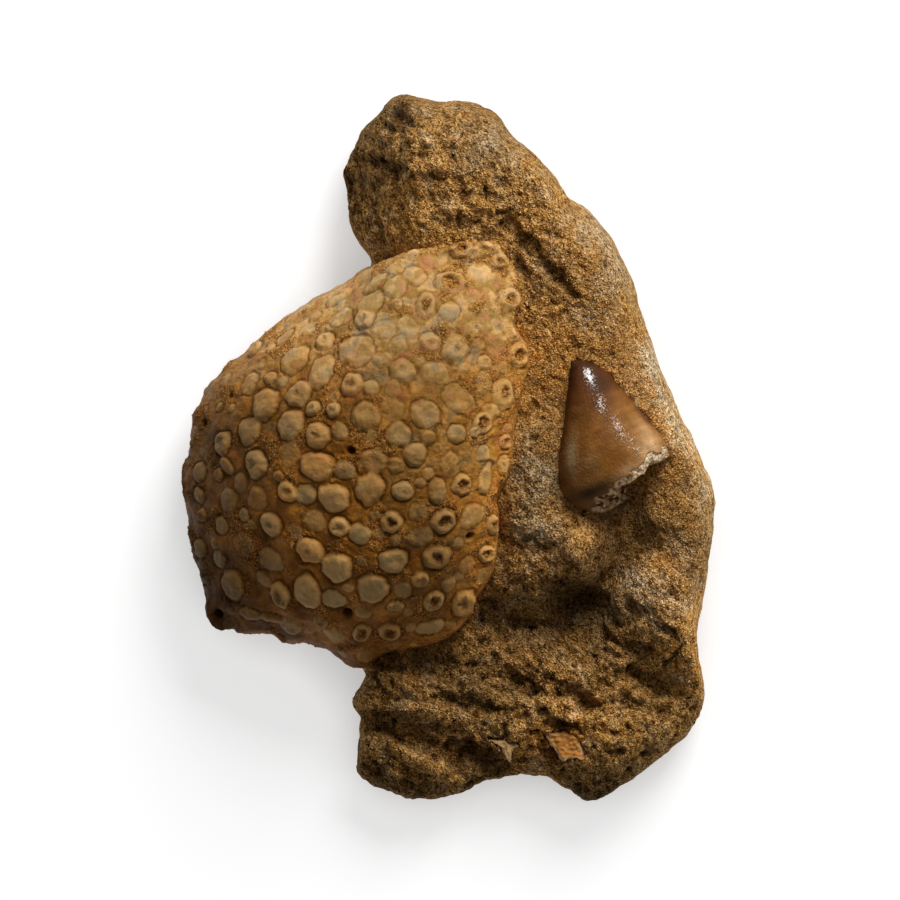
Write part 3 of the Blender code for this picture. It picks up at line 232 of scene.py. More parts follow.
# Two chips of bone in the lower edge of the block: outline from above, top height, depth.
CHIPS = {
    "bone_chip_pale": (
        ((7.7, -61.5), (12, -62.1), (15.6, -63.2), (13.6, -64.6), (13, -67), (11.4, -65),
         (10.6, -63.6)), 18.2, 4),
    "bone_chip_orange": (
        ((19.8, -61), (22.6, -60.2), (26.8, -60.5), (28.4, -63.6), (28.7, -66.6), (26.2, -66.2),
         (24.2, -66.9), (22.4, -64.4)), 19.4, 4.5),
}

# Matrix: lumps of the broken stone, as height and size, and the height above the flat base up to
# which they fade out.
STONE_LUMPS = ((1, 13), (0.6, 6.5), (0.6, 3))
STONE_LUMPS_FADE = 6.0
# Crumbs between sharp creases: height and size.
STONE_CRUMBS = ((0.85, 2.3), (0.6, 1.15))
# Hollows fade out below this height.
HOLLOW_RIM = 17.0
# Ruggedness of the stone, smallest where sand fills its relief: x, y, share.
STONE_RUGGED = (
    (-8, 60, 1.3), (10, 60, 1.15), (24, 50, 0.8), (18, 38, 1.0), (22, 12, 0.5), (40, 22, 0.55),
    (52, -8, 0.55), (16, -5, 0.9), (30, -20, 0.5), (46, -28, 0.8), (24, -36, 1.2), (10, -55, 1.3),
    (38, -55, 1.2),
)
# The outermost stone keeps this share of the fine relief, and turns rough over these tilts.
SMOOTH_RIM = 0.22
ROUGH_TILTS = (0.05, 0.55)
BLOCK_GRID_TURN = math.radians(35)
BLOCK_RINGS = 14
# Pits where grains and shell bits fell out: their size and the level of noise at which they open.
STONE_PIT_SIZE = 2.4
STONE_PIT_LEVEL = (0.26, 0.6)
# Hollows, cracks and, below zero, ridges of the stone: x, y at each end, half width, depth.
STONE_HOLLOWS = (
    (-11.2, 71, -9.6, 70.4, 2, 1.6), (-14.5, 68.9, -12.9, 68, 1.2, 1.2),
    (-16, 60.8, -9.5, 58.8, 1.2, 1.5), (-11.6, 59.3, -11.6, 58, 1.3, 1),
    (-2.8, 48.8, -1.2, 47.8, 1.6, 1.2), (2.9, 53.7, 3.5, 53.4, 1.2, 1),
    (12.8, 46.5, 18, 41.8, 1.9, 1.5), (18, 41, 26.5, 32.4, 1.4, 1.5), (17.8, 9.3, 17.8, 8.6, 1, 0.9),
    (14.4, 39.7, 16.1, 36.3, 1.5, 1), (17, -20, 24, -25, 3, 1), (24, -29.5, 31.5, -32.5, 2.8, 0.9),
    (8, -33.5, 17, -37, 2.4, 0.7), (-15, -44.5, 0, -48, 2.8, 1.6), (-9.5, -43, -9, -51, 1.2, -1.1),
    (13.8, -49, 17.9, -51.6, 1.7, 1.7), (-0.5, -53.5, 8.5, -56, 1.8, 1.6),
    (-19, -54.3, -2, -55.7, 1.5, -1.2), (-2, -55.7, 6.5, -61.2, 1.3, -0.9),
    (6.5, -61.2, 11.6, -62.9, 1.2, -0.7), (-17, -58, 2, -66, 2.6, 1.9),
    (2.2, -64.5, 12, -67.8, 2.2, 2.2), (-12.6, -63.3, 1, -71, 1.6, -1.2),
    (21, -49.2, 29.5, -55, 1.6, 1.7), (19, -53.5, 26, -58, 1, -0.8), (35.4, -40.9, 41.2, -44, 1.4, 1.1),
    (38.6, -47.5, 45, -51, 1.8, 1.3), (38.5, -54.5, 46, -56.5, 1.8, 1.2),
    (21.6, -64.6, 22.6, -66.4, 1.2, 1.6), (20.6, -59, 26.4, -59.3, 1, 1.9),
    (38.3, -33.2, 47, -39.7, 1.5, 1.2), (50.1, -41.8, 47.6, -44.4, 0.5, 1.9),
    (47.6, -44.4, 45.6, -46.4, 0.45, 1.8), (47.8, -44.2, 48.3, -46.8, 0.35, 1.2),
)
# Runs in the washed stone: their bearing and size, where they start, and their height. On steep
# faces they run down the face. Grains and crumbs are longer along them by this factor.
STONE_RUN_BEARING = math.radians(-41)
GRAIN_STRETCH = 1.25
STONE_RUN_SIZE = 1.5
STONE_RUN_BELOW = -36.0
STONE_RUN_HEIGHT = 0.45
CLIFF_RUN_HEIGHT = 0.20
# Tints of the stone: x, y, radius, strength.
# Grey spots: cleaner stone, and on the right edges that face the light, painted light, paler and greyer.
GREY_AND_PAINTED_LIGHT_STONE = (
    (29.9, 27.3, 3.5, 0.8), (42.7, 19, 5, 0.8), (42.7, 12, 6, 0.8), (18.2, -4.6, 5.5, 0.8),
    (40.5, -30.1, 5, 0.8), (6.5, 62.4, 6, 0.6), (49, 3, 5, 0.8), (53, -8, 4, 0.7), (30, 46, 5, 0.6),
    (36, 38, 5, 0.6), (17.5, -16, 5, 0.8), (47, -32, 5, 0.6), (48, -18, 6, 0.4),
)
OCHRE_STONE = (
    (36.3, 21, 5, 0.9), (19.3, 20, 7, 0.8), (22, 12, 7, 0.8), (-8.8, 55, 4, 0.6), (-8, 48, 4, 0.6),
    (43.7, -6.7, 4, 0.8), (51.2, -46.1, 4, 0.9), (16.1, -62.5, 5, 0.9), (26.7, -63.5, 5, 0.9),
    (33, 8, 6, 0.7),
)
# Darkened spots, partly grime and partly painted shade: the foot of the cliff, the gully under the ridge
# and the hollows of the upper lobe.
DIRT_AND_PAINTED_SHADE_STONE = (
    (27.7, -31, 6, 0.6), (36, -22, 5, 0.5), (22, 37.5, 3, 0.5), (8, -65.2, 3.2, 0.9),
    (22.2, -66, 1.5, 1), (-10.5, 71, 3, 0.7), (23.5, -59.2, 2, 0.9), (48, -44.3, 1.2, 0.9),
    (15.4, -50.4, 2.4, 0.6), (-13, 60, 3, 0.5),
)
# Paleness of the stone against the sandy slope beside the tooth: x, y, share. Partly the stone's
# own colour, partly painted light and shade: faces towards the light are paler, and the shaded left
# flank, the foot of the cliffs and the bottom edge are darker.
STONE_TONE_AND_PAINTED_LIGHT = (
    (-16, 60, 0.95), (-6, 60, 1.7), (6, 60, 1.35), (22, 54, 1.5), (38, 28, 1.45), (48, 5, 1.9),
    (13, 49, 1.9), (55, -12, 1.6), (51, -22, 1.2), (20, 36, 1.7), (20, 22, 1.8), (28, 5, 1.28),
    (20, -3, 1.15), (18, -22, 1.35), (28, -19, 1.6), (40, -5, 1.3), (37, -20, 1.0), (47, -25, 1.85),
    (50, -36, 2.1), (28, -36, 0.6), (8, -36, 1.2), (-8, -50, 1.3), (16, -46, 1.6), (30, -44, 1.05),
    (45, -48, 1.5), (-10, -65, 1.1), (8, -55, 0.8), (5, -62, 1.8), (22, -62, 2.1), (42, -60, 1.5),
    (30, -72, 0.65), (10, -71, 0.7), (-4, 46, 1.75),
)
# Loose sand banked against the plate and the crown: height, and how far it reaches.
PLATE_BANK = (0.5, 2.2)
TOOTH_BANK = (0.8, 1)
# The stone is cut away this far inside the edges of the plate and the crown, and of the chips, and
# lies this far under them there.
BED_MARGIN = 1.0
CHIP_BED_MARGIN = 0.5
BED_GAP = 0.3

# Plate: share of its height on the solid that a worn stud keeps: x, y, share.
STUD_WEAR = (
    (8, 38, 0.45), (-8, 34, 0.45), (-22, 29, 0.5), (-36, 20, 0.6), (12, 20, 0.45), (0, 20, 0.45),
    (-14, 20, 0.55), (-28, 10, 0.72), (10, 0, 0.5), (-4, 0, 0.58), (-18, 0, 0.72), (-40, 0, 0.75),
    (8, -22, 0.7), (-6, -22, 0.75), (-22, -22, 0.82), (-44, -24, 0.8), (-8, -38, 0.8), (-34, -36, 0.9),
)
RING_HEIGHT = 0.95
# Depth of a dimple and of a pit as shares of its radius, and the radii between which one turns
# into the other.
DIMPLE_DEPTH = 0.50
PIT_DEPTH = 0.95
WIDE_PIT = (0.7, 1.2)
BARE_PIT_DEPTH_PER_RADIUS = 1.8
PIT_WALL = (0.35, 1.15)
# A stud is a low dome with a rounded side: where the side starts and ends, in half widths, how
# much higher its middle is, and the fall of the dome.
STUD_SIDE = (0.66, 1.08)
STUD_CROWN = 1.2
STUD_FALL = 0.45
# Groove at the foot of each stud: depth, and its reach and half width in stud half widths.
STUD_GROOVE = (0.3, 1.08, 0.085)
# Studs aren't quite round: share by which their reach varies, and over what length.
STUD_WARP = ((0.14, 3.2), (0.09, 1.4))
# Small pits in worn studs are shallow, ragged dimples, wider than on the solid by this.
DIMPLE_WIDTH = 1.35
PIT_RAGGED = (0.75, 0.8)
# Share of sand in the wide pits.
PIT_SAND = 0.85
# Flat tiles of enamel that fill the gaps: how many places are tried for tiles of each width,
# their height, the least room, and how much of the enamel's colour they and the studs have.
TILES = ((900, 3), (1200, 2.1), (900, 1.3))
TILE_HEIGHT = (0.12, 0.36)
TILE_ROOM = 0.93
TILE_TINT = 0.65
STUD_TINT = 0.88
# Smooth swells of the ground between studs: height and size.
PLATE_SWELLS = ((0.5, 4.5), (0.24, 1.9), (0.1, 0.9))
# Sand caught on the plate: x, y, radius, strength.
PLATE_SAND = (
    (0.1, 35.2, 2.6, 1), (11.9, 31.8, 1.8, 1), (-1, 24.6, 2.4, 0.9), (2.2, 21.4, 2, 0.9),
    (7.6, 15, 2.6, 0.9), (14.6, 19.9, 2, 0.8), (-11.6, 30.5, 1.2, 1), (-5, 31, 1.2, 1),
    (11.4, 39.6, 1.8, 0.9), (2.8, 42.6, 1.8, 1), (-14.8, 9.3, 2.2, 0.9), (4, 12.6, 2.4, 0.8),
    (-43, -20.5, 2.6, 1), (-44.5, -15.5, 3.4, 1), (-41, -23.5, 2.4, 1), (-34, -5.6, 1.8, 0.9),
    (-22.4, -4, 2.4, 0.9), (-18.4, -23.7, 1.8, 0.8), (-33.3, -17, 1.6, 0.9), (-10, 43, 3, 0.8),
    (13, 19, 4, 0.6),
)
# Studs tinged pink: x, y, radius, strength.
PINK_ENAMEL = (
    (-19.7, 20.7, 4.5, 1), (-20.1, 16.8, 2, 0.7), (-3, 39, 2.4, 0.8), (1.2, 34, 2.6, 0.6), (10, 37, 3, 0.6),
    (-3.2, 21.8, 1.8, 0.7), (-7.3, 36.5, 2.4, 0.6), (5, 25, 3, 0.6),
)
# Paleness of the plate by places, partly painted light and shade: darker on the left, away from the
# light, and paler on the right: x, y, share.
PLATE_TONE_AND_PAINTED_LIGHT = (
    (-44, 1, 0.56), (-46, -30, 0.42), (-38, -18, 0.84), (-20, 0, 0.92), (0, 36, 1.25), (-14, 24, 0.9),
    (-20, -30, 1.05), (1, -18, 0.76), (1, 6, 0.8), (-32, 24, 1.2), (-46, 17, 1.0), (13, 11, 1.3),
    (12, -8, 1.55), (9, -28, 1.6), (2, -28, 0.9), (-27, -11, 1.2), (-56, -11, 0.4), (-24, -44, 0.75),
)
# Iron stains the plate, and painted shade warms it, most below the first of these heights of y, and not
# above the second.
PLATE_IRON_AND_PAINTED_SHADE = (6, 32)
PLATE_RINGS = 10
# Pale broken line along the bedded edge: distance inside it, half width and height.
EDGE_LIP = (1, 0.65, 0.5)

# Crown: fineness, and its relief as height, count round it and length of one swell along it.
TOOTH_LINES = 360
TOOTH_RINGS = 190
TOOTH_STRIAE = ((0.010, 46, 9), (0.008, 87, 5))
# Broken band at the base where the enamel is chipped away: its width by bearing round the crown
# in degrees, its depth, and how much deeper it lies at its end. Chips in it: height and size.
TOOTH_BREAK = (
    (0, 1.9), (45, 2.1), (75, 2.1), (100, 1.9), (130, 1.2), (155, 1.5), (180, 0.7), (270, 0.3), (360, 1.9),
)
TOOTH_BREAK_DEPTH = 0.20
TOOTH_BREAK_LEAN = 0.9
TOOTH_BREAK_CHIPS = ((0.5, 1.3), (0.3, 0.55))
# How pale the broken band is, by bearing round the crown in degrees: partly the dentine's own
# colour, partly painted light on chips that face away from the light.
TOOTH_CHALK_AND_PAINTED_LIGHT = (
    (0, 1.3), (55, 1.2), (78, 0.65), (105, 0.15), (140, 0), (158, 0.9), (176, 0.9), (190, 0.4), (360, 1.3),
)
# Patches of the crown: distance from the tip, share of the half width off the middle, how far
# they reach along and across, strength.
CROWN_PATCHES = {
    "gloss": (
        (3.6, 0.05, 3, 1, 1), (10.5, 0.11, 2, 1, 0.85), (16.5, 0.33, 2.4, 1.2, 0.62),
        (21, 0.45, 2.6, 1.4, 0.45),
    ),
    "pale": ((20.4, 0.78, 4, 1.8, 0.7), (23.9, 0.64, 2.8, 2.2, 1), (25.8, 0.2, 1.3, 3, 0.5)),
    "warm": ((14.5, -0.25, 3.5, 2.4, 0.3), (22, -0.1, 3.2, 3.2, 0.9)),
    # Partly painted shade: the left flank and the foot of the base, away from the light.
    "dark": (
        (26.9, -0.55, 1.5, 5, 1), (3, -0.85, 4, 1.2, 0.6), (12, -1, 6, 0.9, 0.6),
        (7.5, 0.15, 3, 1.6, 0.5),
    ),
    "streak": ((18.5, -0.74, 3.6, 1.2, 1), (21.5, -0.35, 2.2, 2.2, 0.25)),
}
# Red-brown line along the right edge, and the paler right side: shares of the half width, and
# distances from the tip, between which each comes and goes.
CROWN_EDGE = (0.80, 0.97, 18, 22)
CROWN_SIDE = (-0.05, 0.85, 6, 17)

# Loose grains: how many lie on the stone and on the plate, and their half widths.
GRAINS_PER_PIECE = 24000
STONE_GRAIN_PIECES = ("sand_on_stone_coarse", "sand_on_stone_fine")
PLATE_GRAINS = 20000
GRAIN_HALF_WIDTHS = (0.1, 0.27)
GRAIN_STEP = 0.25
# Grains on the plate have this share of the width of those on the stone.
PLATE_GRAIN_SHARE = 0.65
# They are paler than the sand they lie in by this factor.
PLATE_GRAIN_TONE = 1.4
# A grain's middle lies this share of its half width under the surface.
GRAIN_SINK = 0.15

# Chips: fineness. They lie this deep in the stone's sand, below the tops of their solids, and
# their worn rims, which start at this share of their reach, face this way.
CHIP_CELLS = 64
CHIP_SINK = 0.8
CHIP_RIM = (0.74, 0.92)
CHIP_RIM_BEARING = math.radians(-125)
CHIP_LUMPS = ((0.6, 2.2), (0.4, 0.9))
CHIP_RAGGED = (0.16, 1.6)

# Stage: the photograph takes in this width, seen from straight above this place, and the floor is
# duller within this reach of the object, in metres.
FRAME_WIDTH = 191.5
CAMERA_AIM = (0.1, -0.3, 22.0)
FLOOR_HALF_WIDTH = 2.0
FLOOR_SHADE_REACH = 0.016


def linear(code):
    """Linear colour from an sRGB hex code."""
    shares = np.array([int(code[place:place + 2], 16) / 255 for place in (0, 2, 4)])
    low = shares / 12.92
    high = ((shares + 0.055) / 1.055)**2.4
    return tuple(np.where(shares <= 0.04045, low, high).tolist())


def closed_curve(points, steps=24):
    """Smooth closed curve through the points: a Catmull-Rom arc between each two of them."""
    here = np.asarray(points, float)
    before = np.roll(here, 1, axis=0)
    after = np.roll(here, -1, axis=0)
    beyond = np.roll(here, -2, axis=0)
    t = (np.arange(steps) / steps)[None, :, None]
    straight = (after - before)[:, None] * t
    bend = (2 * before - 5 * here + 4 * after - beyond)[:, None] * t**2
    twist = (3 * here - before - 3 * after + beyond)[:, None] * t**3
    return (here[:, None] + 0.5 * (straight + bend + twist)).reshape(-1, 2)


def seen_from(centre, x, y):
    """Distance and bearing of each point from the centre."""
    return np.hypot(x - centre[0], y - centre[1]), np.arctan2(y - centre[1], x - centre[0])


def edge_distance(outline, centre, bearings):
    """Distance from the centre to the smooth outline along each bearing."""
    reach, bearing = seen_from(centre, *closed_curve(outline).T)
    order = np.argsort(bearing)
    return np.interp(bearings, bearing[order], reach[order], period=FULL_TURN)


def curve_through(stations, values, wanted):
    """Smooth curve through the values at the stations: cubic pieces that share their slopes."""
    slopes = np.gradient(values, stations)
    place = np.clip(np.searchsorted(stations, wanted) - 1, 0, len(stations) - 2)
    span = stations[place + 1] - stations[place]
    t = (wanted - stations[place]) / span
    from_here = (1 + 2 * t) * (1 - t)**2 * values[place] + t * (1 - t)**2 * span * slopes[place]
    to_next = t**2 * (3 - 2 * t) * values[place + 1] - t**2 * (1 - t) * span * slopes[place + 1]
    return from_here + to_next


def sheet_height(controls, x, y):
    """Height of the smooth sheet through the control points, a thin plate bent onto them.

    Each control adds its weight times d^2 log d, for the distance d to it, and a plane is added.
    """
    known = np.asarray(controls, float)
    count = len(known)

    def bend(x_from, y_from):
        """Bend at the places from each control."""
        square = (np.ravel(x_from)[:, None] - known[:, 0])**2
        square = square + (np.ravel(y_from)[:, None] - known[:, 1])**2
        return 0.5 * square * np.log(np.maximum(square, 1e-9))

    plane = np.column_stack((np.ones(count), known[:, :2]))
    system = np.block([[bend(known[:, 0], known[:, 1]), plane], [plane.T, np.zeros((3, 3))]])
    weights = np.linalg.solve(system, np.append(known[:, 2], np.zeros(3)))
    level = weights[count] + weights[count + 1] * np.ravel(x) + weights[count + 2] * np.ravel(y)
    return (bend(x, y) @ weights[:count] + level).reshape(np.shape(x))


def smooth_step(low, high, value):
    """Rise from 0 at low to 1 at high, level at both ends."""
    t = np.clip((value - low) / (high - low), 0.0, 1.0)
    return t * t * (3 - 2 * t)


def shoulder(inside, width):
    """Quarter round: 0 at the edge, 1 from the width inwards."""
    t = np.clip(inside / width, 0.0, 1.0)
    return np.sqrt(t * (2 - t))


def noise_directions():
    """Random unit vectors, one for each place in the noise's table."""
    random = np.random.default_rng(7)
    vectors = random.normal(size=(256, 3))
    return vectors / np.linalg.norm(vectors, axis=1)[:, None], random.permutation(256)


DIRECTIONS, SHUFFLE = noise_directions()


def noise(points, size):
    """Gradient noise from -1 to 1 with lumps of the given size: unit cubes with a random slope
    at each corner, eased into each other."""
    scaled = points / size
    cell = np.floor(scaled).astype(int)
    within = scaled - cell
    ease = within**3 * (within * (within * 6 - 15) + 10)
    total = np.zeros(len(points))
    for corner in np.ndindex(2, 2, 2):
        x, y, z = (cell + corner).T % 256
        slope = DIRECTIONS[SHUFFLE[(SHUFFLE[(SHUFFLE[x] + y) % 256] + z) % 256]]
        weight = np.prod(np.where(corner, ease, 1 - ease), axis=1)
        total += weight * np.sum(slope * (within - corner), axis=1)
    return 1.6 * total


def disc_grid(cells):
    """Square grid bent into a unit disc: reach from the centre and bearing of each point."""
    side = np.linspace(-1, 1, cells + 1)
    u, v = np.meshgrid(side, side)
    wide = np.abs(u) >= np.abs(v)
    main = np.where(wide, u, v)
    cross = np.where(wide, v, u)
    lean = (math.pi / 4) * cross / np.where(main == 0, 1, main)
    bearing = np.where(wide, lean, math.pi / 2 - lean) + np.where(main < 0, math.pi, 0)
    return np.abs(main).ravel(), bearing.ravel()


def grid_faces(cells):
    """Four-sided faces of a square grid, and the points of its border in order."""
    index = np.arange((cells + 1)**2).reshape(cells + 1, cells + 1)
    corners = (index[:-1, :-1], index[:-1, 1:], index[1:, 1:], index[1:, :-1])
    border = np.concatenate((index[0, :-1], index[:-1, -1], index[-1, :0:-1], index[:0:-1, 0]))
    return np.stack(corners, axis=-1).reshape(-1, 4), border


def band_faces(upper, lower):
    """Four-sided faces between two closed rings of as many points."""
    return np.stack((upper, lower, np.roll(lower, -1), np.roll(upper, -1)), axis=-1)


def close_below(top, cells, side, base):
    """Points, four-sided faces and base fan of a closed form: a bent square grid, and from its
    border rings of points down the side to the base's middle."""
    quads, border = grid_faces(cells)
    rings = np.vstack((border, np.arange(len(side)).reshape(-1, len(border)) + len(top)))
    bands = [band_faces(upper, lower) for upper, lower in zip(rings, rings[1:])]
    last = rings[-1]
    fan = np.column_stack((last, np.full(len(last), len(top) + len(side)), np.roll(last, -1)))
    return np.concatenate((top, side, [base])), np.concatenate((quads, *bands)), fan


def bearing_vectors(bearing):
    """Level unit vectors along the bearings."""
    return np.column_stack((np.cos(bearing), np.sin(bearing)))


def along_bearing(centre, distance, bearing):
    """x and y at those distances and bearings from the centre."""
    return centre[0] + distance * np.cos(bearing), centre[1] + distance * np.sin(bearing)


def flank_values(column, bearing):
    """A column of the block's flank at the bearings, in straight steps between its rows."""
    flank = np.asarray(BLOCK_FLANK, float)
    return np.interp(bearing, np.radians(flank[:, 0]), flank[:, column], period=FULL_TURN)


def block_top(x, y, reach, bearing):
    """Top of the block: the sheet, rounded down to the widest line over the shoulder."""
    widest = flank_values(1, bearing)
    width = flank_values(2, bearing)
    inside = (1 - reach) * edge_distance(BLOCK_OUTLINE, BLOCK_CENTRE, bearing)
    sheet = np.maximum(sheet_height(BLOCK_TOP, x, y), widest + BLOCK_LEAST_RISE)
    return widest + (sheet - widest) * shoulder(inside, width)


def plate_buried(bearing):
    """1 where the plate's edge lies in the block, 0 where it is the specimen's own edge."""
    start, stop = (
        smooth_step(-PLATE_EDGE_BLEND, PLATE_EDGE_BLEND, bearing - limit)
        for limit in (PLATE_BURIED_FROM, PLATE_BURIED_TO))
    return start * (1 - stop)


def plate_edge_height(x, y, buried):
    """Height of the plate's edge: free on the left, just under the block's top on the right."""
    in_block = sheet_height(BLOCK_TOP, x, y) - PLATE_BURIED_DEPTH + PLATE_EDGE_LIFT
    return PLATE_EDGE_HEIGHT + np.maximum(in_block - PLATE_EDGE_HEIGHT, 0) * buried


def plate_dome(x, y):
    """The plate's top without its studs, rounded down to its edge over the shoulder."""
    away, bearing = seen_from(PLATE_CENTRE, x, y)
    reach = edge_distance(PLATE_OUTLINE, PLATE_CENTRE, bearing)
    buried = plate_buried(bearing)
    edge = plate_edge_height(*along_bearing(PLATE_CENTRE, reach, bearing), buried)
    width = PLATE_SHOULDER + (PLATE_BURIED_SHOULDER - PLATE_SHOULDER) * buried
    inside = reach - away
    sheet = np.maximum(sheet_height(PLATE_TOP, x, y), edge)
    return edge + (sheet - edge) * shoulder(inside, width)


def dome_normals(x, y):
    """Outward direction of the dome, from its slope over a short step each way."""
    step = 0.4
    slope_x = (plate_dome(x + step, y) - plate_dome(x - step, y)) / (2 * step)
    slope_y = (plate_dome(x, y + step) - plate_dome(x, y - step)) / (2 * step)
    normal = np.column_stack((-slope_x, -slope_y, np.ones(np.size(x))))
    return normal / np.linalg.norm(normal, axis=1)[:, None]


def point_normals(points, quads):
    """Outward direction at each point: the sum of its four-sided faces' crossed diagonals."""
    first, second, third, fourth = (points[quads[:, corner]] for corner in range(4))
    area = np.repeat(np.cross(third - first, fourth - second), 4, axis=0)
    total = [np.bincount(quads.ravel(), area[:, axis], len(points)) for axis in range(3)]
    total = np.column_stack(total)
    return total / np.maximum(np.linalg.norm(total, axis=1), 1e-9)[:, None]


def spot_mask(x, y, spots):
    """Sum of soft round spots, each its strength times exp(-(distance / radius)^2), at most 1."""
    total = np.zeros(len(x))
    for spot_x, spot_y, radius, strength in spots:
        total += strength * np.exp(-((x - spot_x)**2 + (y - spot_y)**2) / radius**2)
    return np.clip(total, 0.0, 1.0)


def hollow_depth(x, y, warp):
    """Depth of the hollows, less the ridges: full along a line, gone at the half width."""
    depth = np.zeros(len(x))
    ridge = np.zeros(len(x))
    for from_x, from_y, to_x, to_y, half_width, deepest in STONE_HOLLOWS:
        along = np.array([to_x - from_x, to_y - from_y])
        share = ((x - from_x) * along[0] + (y - from_y) * along[1]) / (along @ along)
        share = np.clip(share, 0.0, 1.0)
        away = np.hypot(x - from_x - share * along[0], y - from_y - share * along[1])
        fall = smooth_step(0.3, 1.3, away * (1 + warp) / half_width)
        depth = np.maximum(depth, deepest * (1 - fall))
        ridge = np.minimum(ridge, deepest * (1 - fall))
    return depth + ridge


def plate_inside(x, y):
    """Distance from each point to the plate's edge, along its bearing; positive inside."""
    away, bearing = seen_from(PLATE_CENTRE, x, y)
    return edge_distance(PLATE_OUTLINE, PLATE_CENTRE, bearing) - away


def crown_place(x, y):
    """Each point's distance from the crown's tip, and its share of the half width off the axis."""
    profile = np.asarray(TOOTH_PROFILE)
    ahead_x, ahead_y = TOOTH_AHEAD
    offset_x = x - TOOTH_TIP[0]
    offset_y = y - TOOTH_TIP[1]
    along = offset_x * ahead_x + offset_y * ahead_y
    held = np.clip(along, 0.0, TOOTH_LENGTH)
    bend = curve_through(profile[:, 0], profile[:, 1], held)
    half_width = curve_through(profile[:, 0], profile[:, 2], held)
    sideways = offset_y * ahead_x - offset_x * ahead_y - bend
    return along, sideways, half_width


def crown_axis(along):
    """Height of the crown's axis, which falls evenly from the tip to the base."""
    fall = TOOTH_AXIS_HEIGHT_TIP - TOOTH_AXIS_HEIGHT_BASE
    return TOOTH_AXIS_HEIGHT_TIP - fall * along / TOOTH_LENGTH


def crown_inside(x, y):
    """Distance into the crown's outline as seen from above; negative outside."""
    along, sideways, half_width = crown_place(x, y)
    base = TOOTH_LENGTH - TOOTH_BASE_SLANT * np.clip(sideways / half_width, -1, 1)
    return np.minimum(np.minimum(half_width - np.abs(sideways), along + 0.3), base - along)


def block_surface(cells):
    """The block's smooth form: a square grid bent over its top, rings down its flank, a base.

    A point of the top lies at its reach and bearing times the outline's distance, at the height
    of the top there. The flank leans in with the 1.5th power of the drop.
    """
    reach, bearing = disc_grid(cells)
    bearing = bearing + BLOCK_GRID_TURN
    distance = reach * edge_distance(BLOCK_OUTLINE, BLOCK_CENTRE, bearing)
    x, y = along_bearing(BLOCK_CENTRE, distance, bearing)
    top = np.column_stack((x, y, block_top(x, y, reach, bearing)))
    border = grid_faces(cells)[1]
    inset = flank_values(3, bearing[border])[:, None]
    inwards = -bearing_vectors(bearing[border]) * inset
    drop = np.repeat(np.arange(1, BLOCK_RINGS + 1) / BLOCK_RINGS, len(border))
    flank = np.tile(top[border], (BLOCK_RINGS, 1))
    flank[:, :2] += np.tile(inwards, (BLOCK_RINGS, 1)) * drop[:, None]**1.5
    flank[:, 2] *= 1 - drop
    return close_below(top, cells, flank, (*BLOCK_CENTRE, 0.0))


def stone_relief(points, normals):
    """Relief of the broken stone: noise of falling size, runs, less the pits and hollows.

    Also gives how far each point lies below its surroundings, which darkens it: grime, and painted shade in
    the pits and hollows.
    """
    steep = 1 - smooth_step(0.35, 0.8, normals[:, 2])
    low = smooth_step(-STONE_RUN_BELOW - 4, -STONE_RUN_BELOW + 4, -points[:, 1])
    swell = sum(height * noise(points, size) for height, size in STONE_LUMPS[:2])
    ahead = np.array([math.cos(STONE_RUN_BEARING), math.sin(STONE_RUN_BEARING), 0.0])
    laid = points - (1 - 1 / GRAIN_STRETCH) * (points @ ahead)[:, None] * ahead
    fine = sum(height * noise(laid + size, size) for height, size in STONE_LUMPS[2:])
    for height, size in STONE_CRUMBS:
        fine += height * (np.abs(noise(laid + size, size)) - 0.3)
    down_the_face = points * np.array([1.0, 1.0, 0.2])
    runs = CLIFF_RUN_HEIGHT * steep * noise(down_the_face + 40, STONE_RUN_SIZE)
    along_run = points - 0.75 * (points @ ahead)[:, None] * ahead
    runs += STONE_RUN_HEIGHT * low * (1 - steep) * noise(along_run + 60, STONE_RUN_SIZE)
    region = 0.6 + 0.7 * noise(points + 80, 18.0) + 0.35 * low
    pits = smooth_step(*STONE_PIT_LEVEL, noise(points + 100, STONE_PIT_SIZE)) * np.clip(region, 0.2, 1.2)
    warp = 0.35 * noise(points + 120, 1.7) + 0.45 * noise(points + 125, 4.0)
    hollows = hollow_depth(points[:, 0], points[:, 1], warp)
    return swell, fine + runs, pits, hollows


def bed_height(x, y, height):
    """The stone's height, lowered to lie under the pieces where it is inside them."""
    along, sideways, half_width = crown_place(x, y)
    across = np.clip(sideways / half_width, -1, 1)
    depth = TOOTH_DEPTH_PER_WIDTH * half_width * np.sqrt(1 - across**2)
    beds = [
        (plate_inside(x, y) > BED_MARGIN, PLATE_UNDERSIDE),
        (crown_inside(x, y) > BED_MARGIN, crown_axis(along) - depth),
    ]
    for outline, top, depth in CHIPS.values():
        beds.append((outline_inside(outline, x, y) > CHIP_BED_MARGIN, top - depth))
    for inside, underside in beds:
        height = np.where(inside, np.minimum(height, underside - BED_GAP), height)
    return np.maximum(height, 0.0)


